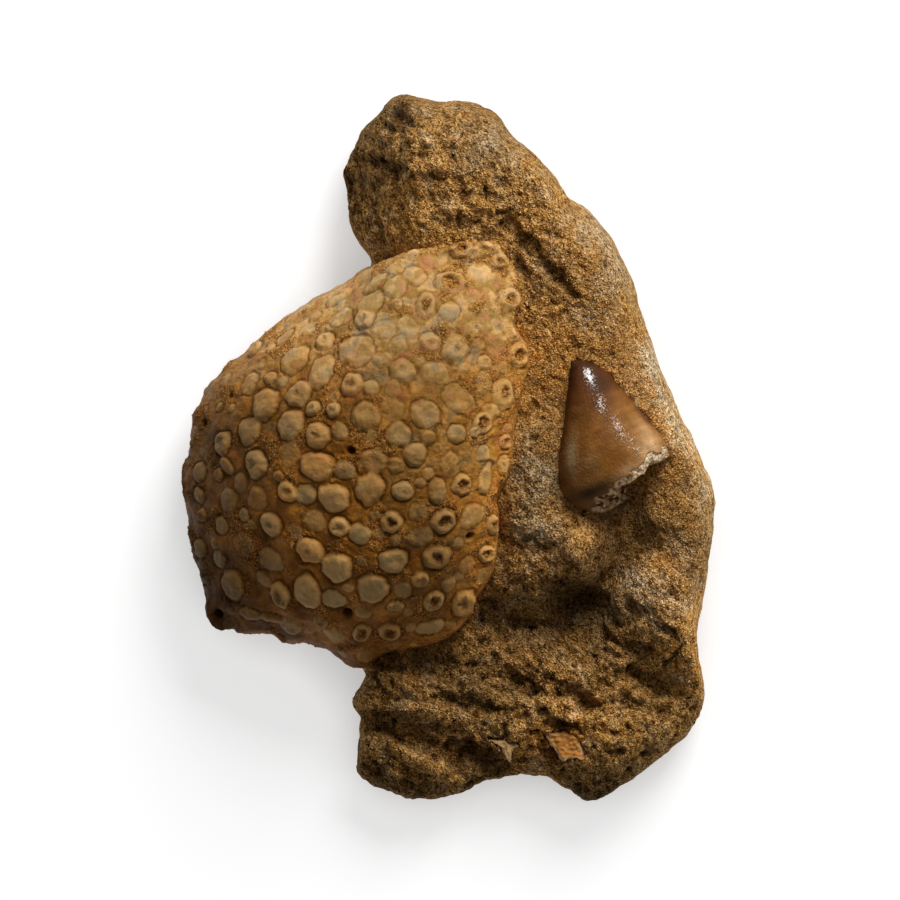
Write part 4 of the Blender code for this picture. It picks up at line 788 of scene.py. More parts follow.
def block_pieces(look):
    """Points, faces and masks of the dressed block: its smooth form moved along its normals by
    the relief, with sand banked up against the pieces in it, and lowered under them."""
    points, quads, fan = block_surface(look.grid_cells)
    normals = point_normals(points, quads)
    height = points[:, 2]
    free = smooth_step(0.0, STONE_LUMPS_FADE, height)
    swell, fine, pits, hollows = stone_relief(points, normals)
    x, y, _ = points.T
    edge_gap = plate_inside(x, y)
    tooth_gap = crown_inside(x, y)
    buried = plate_buried(seen_from(PLATE_CENTRE, x, y)[1])
    near_plate = np.exp(-(np.minimum(edge_gap, 0) / PLATE_BANK[1])**2) * buried
    near_tooth = np.exp(-(np.minimum(tooth_gap, 0) / TOOTH_BANK[1])**2)
    rim = SMOOTH_RIM + (1 - SMOOTH_RIM) * smooth_step(*ROUGH_TILTS, normals[:, 2])
    rugged = rim * sheet_height(STONE_RUGGED, x, y) * (1 - 0.5 * near_plate)
    rough = look.roughness * rugged * (1 - 0.5 * near_tooth)
    pits = pits * rugged
    pit_depth = look.pit_depth / METRES_PER_MM * pits
    hollows = hollows * (1 - near_tooth) * smooth_step(0.0, HOLLOW_RIM, height)
    relief = swell * (1 - 0.7 * near_plate) + rough * fine - pit_depth - hollows
    points = points + normals * (relief * free)[:, None]
    bank = PLATE_BANK[0] * near_plate * (0.6 + 0.8 * noise(points + 140, 3.0))
    bank += TOOTH_BANK[0] * near_tooth * (0.5 + 0.6 * noise(points + 150, 2.0))
    on_top = (np.arange(len(points)) < (look.grid_cells + 1)**2) & (points[:, 2] > STONE_LUMPS_FADE)
    points[:, 2] += np.where(on_top, bank, 0.0)
    points[:, 2] = bed_height(*points.T)
    # Sunk places are darkened: partly grime, partly painted shade in the pits and hollows.
    sunk = np.clip(0.9 * pits + 0.7 * np.clip(hollows, 0, 1) - 0.5 * fine, 0.0, 1.0)
    masks = {
        # Paleness, partly painted light and shade, from the sheet above.
        "tone": np.clip(sheet_height(STONE_TONE_AND_PAINTED_LIGHT, x, y), 0.4, 2.2),
        "dirt": np.clip(
            0.75 * sunk + spot_mask(x, y, DIRT_AND_PAINTED_SHADE_STONE) + 0.35 * noise(points + 180, 3.5), 0.0, 1.0),
        "grey": np.clip(
            spot_mask(x, y, GREY_AND_PAINTED_LIGHT_STONE) + 0.6 * noise(points + 160, 4.5), 0.0, 1.0),
        "ochre": np.clip(
            spot_mask(x, y, OCHRE_STONE) + 0.5 * near_plate + 0.4 * near_tooth
            + 0.55 * noise(points + 170, 5.5), 0.0, 1.0),
    }
    return points, quads, fan, masks


def outline_inside(outline, x, y):
    """Distance into a small outline along the bearing from its middle; negative outside."""
    middle = closed_curve(outline, 2).mean(axis=0)
    away, bearing = seen_from(middle, x, y)
    return edge_distance(outline, middle, bearing) - away


def tile_places():
    """Places and sizes of the flat tiles between the studs, the largest first, from a fixed seed."""
    random = np.random.default_rng(11)
    low = np.min(PLATE_OUTLINE, axis=0)
    high = np.max(PLATE_OUTLINE, axis=0)
    taken = [(x, y, 0.5 * (width + length)) for x, y, width, length, *_ in (*RINGS, *BUTTONS)]
    taken = np.array(taken + list(PITS))
    kept = []
    for tried, widest in TILES:
        for x, y in random.uniform(low, high, (tried, 2)):
            half_width = widest * random.uniform(0.75, 1.0)
            room = np.hypot(taken[:, 0] - x, taken[:, 1] - y) - taken[:, 2]
            if room.min() > half_width * TILE_ROOM and plate_inside(x, y) > 0.5 * half_width:
                taken = np.vstack((taken, (x, y, half_width)))
                longer = half_width * random.uniform(1.0, 1.3)
                turn = random.uniform(0, 180)
                kept.append((x, y, half_width, longer, turn, random.uniform(*TILE_HEIGHT)))
    return kept


def stud_reach(points, studs):
    """Distance of each point from each stud, in stud radii, measured in the stud's own plane."""
    studs = np.asarray(studs, float)
    centre = np.column_stack((studs[:, :2], plate_dome(studs[:, 0], studs[:, 1])))
    normal = dome_normals(studs[:, 0], studs[:, 1])
    turn = np.radians(studs[:, 4])
    across = np.column_stack((np.cos(turn), np.sin(turn), np.zeros(len(studs))))
    across -= normal * np.sum(across * normal, axis=1)[:, None]
    across /= np.linalg.norm(across, axis=1)[:, None]
    along = np.cross(normal, across)
    offset = points[:, None] - centre[None]
    width = np.einsum("pse,se->ps", offset, across) / studs[:, 2]
    length = np.einsum("pse,se->ps", offset, along) / studs[:, 3]
    height = np.einsum("pse,se->ps", offset, normal) / (1.5 * studs[:, 3])
    return np.sqrt(width**2 + length**2 + height**2)


def round_top(reach):
    """Height share of a stud at a reach from its middle: a low dome times a rounded side."""
    return (1 - smooth_step(*STUD_SIDE, reach)) * (STUD_CROWN - STUD_FALL * reach**2)


def plate_relief(points, tiles):
    """Relief of the plate over its dome, with masks of where its studs, pits and grooves are.

    A button is a round top, a ring the same with a pit sunk in it, and a groove runs round each.
    """
    wear = np.clip(sheet_height(STUD_WEAR, points[:, 0], points[:, 1]), 0.35, 1.1)
    warp = sum(share * noise(points + size, size) for share, size in STUD_WARP)
    warp = 1 + warp * (1.6 - 0.6 * wear)
    button = np.asarray(BUTTONS, float)
    ring = np.asarray(RINGS, float)
    tile = np.asarray(tiles, float)
    button_reach = stud_reach(points, button) * warp[:, None]
    ring_reach = stud_reach(points, ring) * warp[:, None]
    tile_reach = stud_reach(points, tile) * warp[:, None]
    button_rise = button[:, 5] * round_top(button_reach) * wear[:, None]
    ring_wear = (0.55 + 0.45 * wear)[:, None]
    ring_rise = RING_HEIGHT * round_top(ring_reach) * ring_wear
    tile_rise = tile[:, 5] * round_top(tile_reach)
    raised = np.maximum(button_rise.max(axis=1), ring_rise.max(axis=1))
    raised = np.maximum(raised, tile_rise.max(axis=1))
    wide_pit = smooth_step(*WIDE_PIT, ring[:, 5])
    pit_share = ring[:, 5] / np.minimum(ring[:, 2], ring[:, 3])
    pit_share = pit_share * (DIMPLE_WIDTH + (1 - DIMPLE_WIDTH) * wide_pit)
    pit_depth = ring[:, 5] * (DIMPLE_DEPTH + (PIT_DEPTH - DIMPLE_DEPTH) * wide_pit)
    uneven, patch = PIT_RAGGED
    ragged = 1 + uneven * noise(points + 240, patch)[:, None] * (1 - 0.5 * wide_pit)
    ring_pit = 1 - smooth_step(*PIT_WALL, ring_reach * ragged / pit_share)
    bare = np.asarray([(x, y, radius, radius, 0) for x, y, radius in PITS])
    bare_pit = 1 - smooth_step(*PIT_WALL, stud_reach(points, bare))
    bare_depth = BARE_PIT_DEPTH_PER_RADIUS * bare[:, 2]
    sunk = np.maximum((pit_depth * ring_pit).max(axis=1), (bare_depth * bare_pit).max(axis=1))
    reach = np.concatenate((button_reach, ring_reach, tile_reach), axis=1)
    nearest = reach.argmin(axis=1)
    on_tile = nearest >= len(button) + len(ring)
    reach = reach.min(axis=1)
    depth, groove_reach, groove_width = STUD_GROOVE
    groove = np.exp(-((reach - groove_reach) / groove_width)**2)
    ring_lip = np.exp(-((ring_reach / pit_share - 1.5) / 0.45)**2).max(axis=1)
    masks = {
        "stud": (1 - smooth_step(0.82, 1.12, reach)) * np.where(on_tile, TILE_TINT, STUD_TINT),
        # Paler rim: partly worn enamel, partly a painted highlight.
        "rim": smooth_step(0.45, 0.85, reach) * (1 - smooth_step(0.95, 1.10, reach)),
        # The groove also darkens the colour: painted shade at the studs' feet.
        "groove": groove * np.where(on_tile, 0.5, 1.0),
        "fill": (ring_pit * wide_pit).max(axis=1),
        "pit": np.maximum((ring_pit * (0.25 + 0.75 * wide_pit)).max(axis=1), bare_pit.max(axis=1)),
        "lip": ring_lip,
        "worn": 1 - smooth_step(0.45, 0.90, wear),
    }
    tinges = np.random.default_rng(5).uniform(0, 1, len(button) + len(ring) + len(tile))
    masks["tinge"] = tinges[nearest]
    return raised - sunk - depth * masks["groove"], masks


def plate_sand(points, masks, fill, near_edge):
    """Share of caught sand: in spots and crevices off the studs, near the edge, and in pits."""
    x, y, _ = points.T
    no_pit = 1 - masks["pit"]
    spots = spot_mask(x, y, PLATE_SAND) * (1 - 0.75 * masks["stud"] * no_pit)
    crevices = smooth_step(0.05, 0.4, noise(points + 200, 5.5) + 0.35 * noise(points + 210, 1.5))
    crevices = 0.7 * ((1 - masks["stud"]) * no_pit) * crevices
    edge = near_edge * (0.6 + 0.8 * noise(points + 220, 2.0))
    sand = np.maximum(np.maximum(spots, crevices), edge)
    return np.clip(np.maximum(sand, PIT_SAND * fill), 0, 1)


def plate_surface(look):
    """The plate's dome moved along its normals by its relief, over a leaning wall and flat base."""
    cells = look.grid_cells
    reach, bearing = disc_grid(cells)
    distance = reach * edge_distance(PLATE_OUTLINE, PLATE_CENTRE, bearing)
    x, y = along_bearing(PLATE_CENTRE, distance, bearing)
    dome = np.column_stack((x, y, plate_dome(x, y)))
    border = grid_faces(cells)[1]
    drop = np.repeat(np.arange(1, PLATE_RINGS + 1) / PLATE_RINGS, len(border))
    wall = np.tile(dome[border], (PLATE_RINGS, 1))
    inwards = -bearing_vectors(bearing[border])
    wall[:, :2] += np.tile(inwards, (PLATE_RINGS, 1)) * (PLATE_WALL_LEAN * drop**2)[:, None]
    wall[:, 2] += (PLATE_UNDERSIDE - wall[:, 2]) * drop
    points, quads, fan = close_below(dome, cells, wall, (*PLATE_CENTRE, PLATE_UNDERSIDE))
    normals = point_normals(points, quads)
    tiles = tile_places()
    relief = []
    masks = []
    for block in np.array_split(points, 24):
        block_relief, block_masks = plate_relief(block, tiles)
        relief.append(block_relief)
        masks.append(block_masks)
    relief = np.concatenate(relief)
    masks = {name: np.concatenate([part[name] for part in masks]) for name in masks[0]}
    x, y, _ = points.T
    inside = plate_inside(x, y)
    buried = plate_buried(seen_from(PLATE_CENTRE, x, y)[1])
    open_edge = 1 - buried * (1 - smooth_step(0.0, 1.5, inside))
    above_base = smooth_step(PLATE_UNDERSIDE, PLATE_UNDERSIDE + 2.5, points[:, 2])
    lip_inside, lip_width, lip_height = EDGE_LIP
    lip = buried * np.exp(-((inside - lip_inside) / lip_width)**2)
    lip *= smooth_step(-0.15, 0.15, noise(points + 250, 3.2))
    masks["lip"] = np.maximum(masks["lip"], 1.8 * lip)
    near_edge = buried * (1 - smooth_step(0.5, 3.5, inside)) * 0.8 * (1 - lip)
    sand = plate_sand(points, masks, masks.pop("fill"), near_edge)
    swells = sum(height * noise(points + size, size) for height, size in PLATE_SWELLS)
    grit = sand * (0.25 + 0.22 * noise(points + 230, 0.8))
    relief = relief + swells + grit + lip_height * lip
    points = points + normals * (relief * open_edge * above_base)[:, None]
    points[:, 2] = np.maximum(points[:, 2], PLATE_UNDERSIDE)
    x, y, _ = points.T
    masks["sand"] = sand
    # Paleness here is partly painted light and shade.
    masks["tone"] = sheet_height(PLATE_TONE_AND_PAINTED_LIGHT, x, y)
    masks["pink"] = spot_mask(x, y, PINK_ENAMEL)
    # Warm tint of the shaded lower half: iron stain and painted shade.
    masks["iron"] = (1 - smooth_step(*PLATE_IRON_AND_PAINTED_SHADE, y)) * (1 - 0.55 * masks["stud"])
    return points, quads, fan, masks


def crown_lengths(angle):
    """Length of the crown along each bearing round it: it slants, is bevelled over the crest,
    undercut below, and jagged by waves."""
    jag = sum(height * np.sin(count * angle + phase) for count, height, phase in TOOTH_BASE_JAGS)
    bevel = TOOTH_BASE_BEVEL * np.maximum(np.sin(angle), 0)**2
    undercut = TOOTH_BASE_UNDERCUT * np.maximum(-np.sin(angle), 0)
    return TOOTH_LENGTH - TOOTH_BASE_SLANT * np.cos(angle) - bevel - undercut + jag


def crown_relief(along, angles, to_base, end_rows):
    """How far the surface lies in: ridges are waves round the crown that drift with noise, and
    the broken band lies deeper towards the base, with chips of noise. Gives the band and chips."""
    width = np.interp(np.degrees(angles), *np.transpose(TOOTH_BREAK))
    flat = np.column_stack((np.cos(angles).ravel(), np.sin(angles).ravel(), along.ravel() / 3))
    ragged = 0.35 * noise(flat * 3 + 300, 1.1) + 0.25 * noise(flat * 6 + 310, 1.0)
    ragged = ragged.reshape(along.shape)
    broken = 1 - smooth_step(0.80, 1.00, to_base / (width * (1 + ragged)))
    broken[-end_rows:] = 1.0
    striae = np.zeros(along.shape)
    for height, count, swell in TOOTH_STRIAE:
        drift = noise(flat * np.array([2, 2, 3 / swell]) + count, 1.0).reshape(along.shape)
        striae += height * np.sin(count * angles + 5 * drift)
    fade = smooth_step(1.0, 8.0, along)
    spread = flat * np.array([11, 11, 3])
    chips = sum(height * noise(spread + 320 + size, size) for height, size in TOOTH_BREAK_CHIPS)
    chips = chips.reshape(along.shape)
    lean = TOOTH_BREAK_LEAN * np.clip(1 - to_base / width, 0.0, 1.0)
    inset = broken * (TOOTH_BREAK_DEPTH + lean + chips) - striae * fade * (1 - broken)
    return inset, broken, chips


def crown_surface():
    """The crown: half-ellipses of its half width over a bent axis, with fine lengthwise ridges.

    Each lengthwise line has its own length, and the last few millimetres of it, where the enamel
    is chipped off, lie deeper. Rings of falling width close its hollow end.
    """
    profile = np.asarray(TOOTH_PROFILE)
    angle = FULL_TURN * np.arange(TOOTH_LINES) / TOOTH_LINES
    length = crown_lengths(angle)
    share = np.concatenate(([-0.1], (np.arange(TOOTH_RINGS + 1) / TOOTH_RINGS)**1.3))
    along = np.outer(share, length)
    along[0] = -0.1
    narrow = np.ones(len(share))
    narrow[0] = 0.5
    hollow_shares = np.array([0.93, 0.82, 0.65, 0.45, 0.25, 0.1])
    hollow = length - TOOTH_BASE_HOLLOW * (1 - hollow_shares[:, None])
    along = np.vstack((along, hollow))
    narrow = np.concatenate((narrow, hollow_shares))
    angles = np.tile(angle, (len(along), 1))
    inset, broken, chips = crown_relief(along, angles, length - along, len(hollow_shares))
    bend = curve_through(profile[:, 0], profile[:, 1], along.ravel()).reshape(along.shape)
    half = curve_through(profile[:, 0], profile[:, 2], along.ravel()).reshape(along.shape)
    half = (half - inset) * narrow[:, None]
    tall = np.where(np.sin(angles) > 0, TOOTH_RISE_PER_WIDTH, TOOTH_DEPTH_PER_WIDTH)
    shift = TOOTH_CREST_SHIFT_BASE - TOOTH_CREST_SHIFT_TIP
    shift = TOOTH_CREST_SHIFT_TIP + shift * along / TOOTH_LENGTH
    crest = shift * np.maximum(np.sin(angles), 0)**2
    across = bend + half * (np.cos(angles) - crest)
    rough_end = np.where(np.arange(len(along)) >= len(share), 1.6, 0.0)[:, None] * chips
    forward = along + rough_end
    ahead_x, ahead_y = TOOTH_AHEAD
    x = TOOTH_TIP[0] + forward * ahead_x - across * ahead_y
    y = TOOTH_TIP[1] + forward * ahead_y + across * ahead_x
    z = crown_axis(along) + tall * half * np.sin(angles)
    rings = np.arange(along.size).reshape(along.shape)
    points = np.column_stack((x.ravel(), y.ravel(), z.ravel()))
    tip = len(points)
    points = np.concatenate((points, [points[rings[0]].mean(axis=0)], [points[rings[-1]].mean(axis=0)]))
    bands = [band_faces(rings[level], rings[level + 1]) for level in range(len(rings) - 1)]
    first, last = rings[0], rings[-1]
    cap = np.column_stack((np.full(len(first), tip), first, np.roll(first, -1)))
    end = np.column_stack((np.full(len(last), tip + 1), np.roll(last, -1), last))
    masks = {
        "along": along, "round_cos": np.cos(angles), "round_sin": np.sin(angles), "broken": broken,
        "chalky": np.interp(np.degrees(angles), *np.transpose(TOOTH_CHALK_AND_PAINTED_LIGHT)),
    }
    masks |= crown_tints(along, np.cos(angles) - crest, np.sin(angles) > 0, half)
    for name, values in masks.items():
        masks[name] = np.append(values.ravel(), (values[0].mean(), values[-1].mean()))
    return points, np.concatenate(bands), np.concatenate((cap, end)), masks


def crown_tints(along, across, upper, half):
    """Masks of the crown's patches: soft ovals of strength times exp(-(distance / reach)^2)."""
    tints = {}
    for name, patches in CROWN_PATCHES.items():
        tint = np.zeros(along.shape)
        for from_tip, share, reach_along, reach_across, strength in patches:
            square = ((along - from_tip) / reach_along)**2
            square += ((across - share) * half / reach_across)**2
            tint += strength * np.exp(-square)
        tints[name] = np.clip(tint, 0.0, 1.0) * upper
    from_share, to_share, full, gone = CROWN_EDGE
    tints["edge"] = smooth_step(from_share, to_share, across) * (1 - smooth_step(full, gone, along))
    from_share, to_share, none, full = CROWN_SIDE
    tints["side"] = smooth_step(from_share, to_share, across) * smooth_step(none, full, along)
    return tints


def chip_surface(outline, top, depth, seed):
    """A broken chip of bone: its outline with a worn edge, a rough face and a smaller underside.

    Also gives where its pale rim is.
    """
    top = top - CHIP_SINK
    reach, bearing = disc_grid(CHIP_CELLS)
    middle = closed_curve(outline, 2).mean(axis=0)
    edge = edge_distance(outline, middle, bearing)
    share, size = CHIP_RAGGED
    rim_place = np.column_stack((edge * np.cos(bearing), edge * np.sin(bearing), np.zeros(len(edge))))
    distance = reach * edge * (1 - share * reach * (0.6 + noise(rim_place + seed, size)))
    x, y = along_bearing(middle, distance, bearing)
    z = top - 0.9 * (1 - shoulder((1 - reach) * edge, 1.0))
    points = np.column_stack((x, y, z))
    for height, size in CHIP_LUMPS:
        points[:, 2] += height * noise(points + seed, size)
    rim = points[grid_faces(CHIP_CELLS)[1]]
    levels = []
    bottom = top - depth + CHIP_SINK
    for share, height in ((0.98, top - 1.6), (0.9, top - depth * 0.7), (0.8, bottom)):
        level = middle + (rim[:, :2] - middle) * share
        levels.append(np.column_stack((level, np.full(len(rim), height))))
    side = np.concatenate(levels)
    points, quads, fan = close_below(points, CHIP_CELLS, side, (*middle, bottom))
    facing = 0.5 + 0.5 * np.cos(bearing - CHIP_RIM_BEARING)
    rim_mask = smooth_step(*CHIP_RIM, reach + 0.10 * noise(points[:len(reach)] + seed, 1.2)) * facing
    masks = {"rim": np.append(rim_mask, np.zeros(len(points) - len(reach)))}
    return points, quads, fan, masks


def grain_shapes(places, normals, half_widths, random):
    """One sharp eight-sided grain at each place, of uneven widths, turned at random."""
    count = len(places)
    corners = np.array([(1, 0, 0), (-1, 0, 0), (0, 1, 0), (0, -1, 0), (0, 0, 1), (0, 0, -1)], float)
    sides = np.array([
        (0, 2, 4), (2, 1, 4), (1, 3, 4), (3, 0, 4), (2, 0, 5), (1, 2, 5), (3, 1, 5), (0, 3, 5),
    ])
    uneven = random.uniform(0.7, 1.25, (count, 3)) * half_widths[:, None]
    first = random.normal(size=(count, 3))
    first /= np.linalg.norm(first, axis=1)[:, None]
    second = np.cross(first, random.normal(size=(count, 3)))
    second /= np.linalg.norm(second, axis=1)[:, None]
    frames = np.stack((first, second, np.cross(first, second)), axis=1)
    local = corners[None] * uneven[:, None]
    points = places[:, None] + np.einsum("gci,gij->gcj", local, frames)
    points -= normals[:, None] * (GRAIN_SINK * half_widths)[:, None, None]
    faces = (sides[None] + 6 * np.arange(count)[:, None, None]).reshape(-1, 3)
    return points.reshape(-1, 3), faces


def add_piece(name, points, faces, finish, slot, masks=None, replaced=()):
    """New piece from points in millimetres and arrays of faces, shaded smooth, riding on the body."""
    mesh = bpy.data.meshes.new(name)
    corners = np.concatenate([part.ravel() for part in faces]).astype(np.int32)
    sizes = np.concatenate([np.full(len(part), part.shape[1]) for part in faces])
    starts = np.concatenate(([0], np.cumsum(sizes)[:-1])).astype(np.int32)
    mesh.vertices.add(len(points))
    mesh.vertices.foreach_set("co", (points * METRES_PER_MM).ravel())
    mesh.loops.add(len(corners))
    mesh.loops.foreach_set("vertex_index", corners)
    mesh.polygons.add(len(sizes))
    mesh.polygons.foreach_set("loop_start", starts)
    mesh.update(calc_edges=True)
    if mesh.validate():
        raise RuntimeError(f"the faces of {name} were not sound")
    mesh.shade_smooth()
    for title, values in (masks or {}).items():
        layer = mesh.attributes.new(title, "FLOAT", "POINT")
        layer.data.foreach_set("value", np.asarray(values, np.float32))
    mesh.materials.append(finish)
    piece = bpy.data.objects.new(name, mesh)
    bpy.context.scene.collection.objects.link(piece)
    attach(piece, "root")
    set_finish(piece, slot)
    if replaced:
        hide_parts(*replaced)
    return piece


# Kinds of node, and settings that many of them share.
MATH = "ShaderNodeMath"
MIX = "ShaderNodeMix"
MASK = "ShaderNodeAttribute"
NOISE = "ShaderNodeTexNoise"
CELLS = "ShaderNodeTexVoronoi"
RAMP = "ShaderNodeValToRGB"
RANGE = "ShaderNodeMapRange"
BUMP = "ShaderNodeBump"
PLACE = "ShaderNodeTexCoord"
SPLIT = "ShaderNodeSeparateColor"
TIMES = {"operation": "MULTIPLY"}
PLUS = {"operation": "ADD"}
TIMES_PLUS = {"operation": "MULTIPLY_ADD"}
OVER = {"data_type": "RGBA"}
TINTED = {"data_type": "RGBA", "blend_type": "MULTIPLY"}


def fill_inputs(tree, node, inputs):
    """Links each input that is given as a socket, adds opacity to a colour, and sets the rest."""
    for name, value in inputs.items():
        if isinstance(value, bpy.types.NodeSocket):
            tree.links.new(value, node.inputs[name])
        elif node.inputs[name].type == "RGBA":
            node.inputs[name].default_value = (*value, 1.0)
        else:
            node.inputs[name].default_value = value


def add_node(tree, kind, settings=None, inputs=None, output=0):
    """Adds a node, sets its properties and colour stops, fills its inputs, and gives an output."""
    node = tree.nodes.new(kind)
    for name, value in (settings or {}).items():
        if name == "stops":
            ramp = node.color_ramp
            while len(ramp.elements) < len(value):
                ramp.elements.new(1.0)
            for element, (place, colour) in zip(ramp.elements, value):
                element.position = place
                element.color = (*colour, 1.0)
        else:
            setattr(node, name, value)
    fill_inputs(tree, node, inputs or {})
    return node.outputs[output]


def new_finish(name, masks=()):
    """Empty material: itself, its tree, its shader, object coordinates, and the named masks."""
    finish = bpy.data.materials.new(name)
    finish.use_nodes = True
    tree = finish.node_tree
    place = add_node(tree, PLACE, output="Object")
    masks = [add_node(tree, MASK, {"attribute_name": mask}, output="Fac") for mask in masks]
    return finish, tree, tree.nodes["Principled BSDF"], place, masks


def per_metre(millimetres):
    """Pattern scale for a feature of that size on object coordinates."""
    return 1 / (millimetres * METRES_PER_MM)


def sandy_limestone(look):
    """Loosely cemented sandy limestone, split by hand and brushed.

    Each grain has its own shade from umber to cream, so that the eye sees coarse sand; grime
    and painted shade darken the pores and hollows, iron stains it ochre, and it turns grey where it
    is cleaner and, as painted light, on faces towards the light.
    """
    finish, tree, shader, place, masks = new_finish(
        "sandy_limestone_matrix", ("tone", "dirt", "grey", "ochre"))
    tone, dirt, grey, ochre = masks
    # The sand lies in runs, so grains and crumbs are longer along them.
    laid = add_node(tree, "ShaderNodeMapping", {"vector_type": "TEXTURE"}, {
        "Vector": place, "Rotation": (0.0, 0.0, STONE_RUN_BEARING), "Scale": (GRAIN_STRETCH, 1.0, 1.0),
    })
    grain = look.grain_width / METRES_PER_MM
    cells = add_node(tree, CELLS, None, {"Vector": laid, "Scale": per_metre(grain)})
    shade = add_node(tree, SPLIT, None, {0: cells.node.outputs["Color"]})
    clumps = add_node(tree, NOISE, None, {
        "Vector": laid, "Scale": per_metre(2.2), "Detail": 5.0, "Roughness": 0.75,
    })
    pores = add_node(tree, NOISE, None, {"Vector": laid, "Scale": per_metre(1.3), "Detail": 3.0})
    pores = add_node(tree, RANGE, None, {
        "Value": pores, "From Min": 0.44, "From Max": 0.34, "To Min": 0.0, "To Max": 1.0,
    })
    value = add_node(tree, MATH, TIMES_PLUS, {
        0: clumps, 1: 0.72, 2: add_node(tree, MATH, TIMES, {0: shade, 1: 0.58}),
    })
    plain = add_node(tree, RAMP, {"stops": (
        (0.30, look.dark_colour), (0.52, look.sand_colour), (0.72, look.tan_colour),
        (0.95, look.pale_colour),
    )}, {"Fac": value})
    stained = add_node(tree, RAMP, {"stops": (
        (0.30, look.dark_colour), (0.58, look.ochre_colour), (0.95, look.pale_ochre_colour),
    )}, {"Fac": value})
    clean = add_node(tree, RAMP, {"stops": (
        (0.28, look.dark_grey_colour), (0.56, look.grey_colour), (0.92, look.pale_grey_colour),
    )}, {"Fac": value})
    colour = add_node(tree, MIX, OVER, {0: ochre, 6: plain, 7: stained}, 2)
    # Grey: cleaner stone, and painted light on the faces towards the light.
    colour = add_node(tree, MIX, OVER, {0: grey, 6: colour, 7: clean}, 2)
    # Paleness multiplies the colour: partly the stone's own, partly painted light and shade.
    colour = add_node(tree, MIX, TINTED, {0: 1.0, 6: colour, 7: tone}, 2)
    # Painted shade: the pores, and the mask of grime and shade, darken the colour towards the darkest
    # grains.
    dark = add_node(tree, MATH, {"operation": "MULTIPLY_ADD", "use_clamp": True}, {
        0: pores, 1: 0.40, 2: add_node(tree, MATH, TIMES, {0: dirt, 1: 0.62}),
    })
    dirty_and_painted_shade = add_node(tree, MIX, TINTED, {0: 1.0, 6: colour, 7: look.dark_colour}, 2)
    colour = add_node(tree, MIX, OVER, {0: dark, 6: colour, 7: dirty_and_painted_shade}, 2)
    warp = add_node(tree, NOISE, None, {"Vector": place, "Scale": per_metre(1.4)}, "Color")
    warped = add_node(tree, "ShaderNodeVectorMath", TIMES_PLUS, {
        0: warp, 1: (0.0010, 0.0010, 0.0010), 2: laid,
    })
    crumbs = add_node(tree, CELLS, None, {"Vector": warped, "Scale": per_metre(0.80)})
    crumb_normal = add_node(tree, BUMP, {"invert": True}, {
        "Height": crumbs, "Strength": 0.8, "Distance": 0.45 * METRES_PER_MM,
    })
    relief = add_node(tree, MATH, TIMES_PLUS, {0: clumps, 1: 2.4, 2: cells})
    relief = add_node(tree, MATH, {"operation": "SUBTRACT"}, {0: relief, 1: pores})
    normal = add_node(tree, BUMP, None, {
        "Height": relief, "Strength": 1.0, "Distance": 0.50 * METRES_PER_MM, "Normal": crumb_normal,
    })
    fill_inputs(tree, shader, {
        "Base Color": colour, "Roughness": 0.95, "Specular IOR Level": 0.08, "Normal": normal,
    })
    return finish


def caught_sand(tree, place, look, mottle):
    """Colour of the sand caught on the plate, each grain one shade, and its cells for the relief."""
    cells = add_node(tree, CELLS, None, {"Vector": place, "Scale": per_metre(0.40)})
    shade = add_node(tree, SPLIT, None, {0: cells.node.outputs["Color"]})
    grains = add_node(tree, MATH, TIMES_PLUS, {
        0: mottle, 1: 0.7, 2: add_node(tree, MATH, TIMES, {0: shade, 1: 0.5}),
    })
    grains = add_node(tree, RAMP, {"stops": (
        (0.44, look.pit_dirt_and_painted_shade_colour), (0.62, look.sand_colour), (0.80, look.pale_ground_colour),
        (0.94, look.worn_colour),
    )}, {"Fac": grains})
    return grains, cells


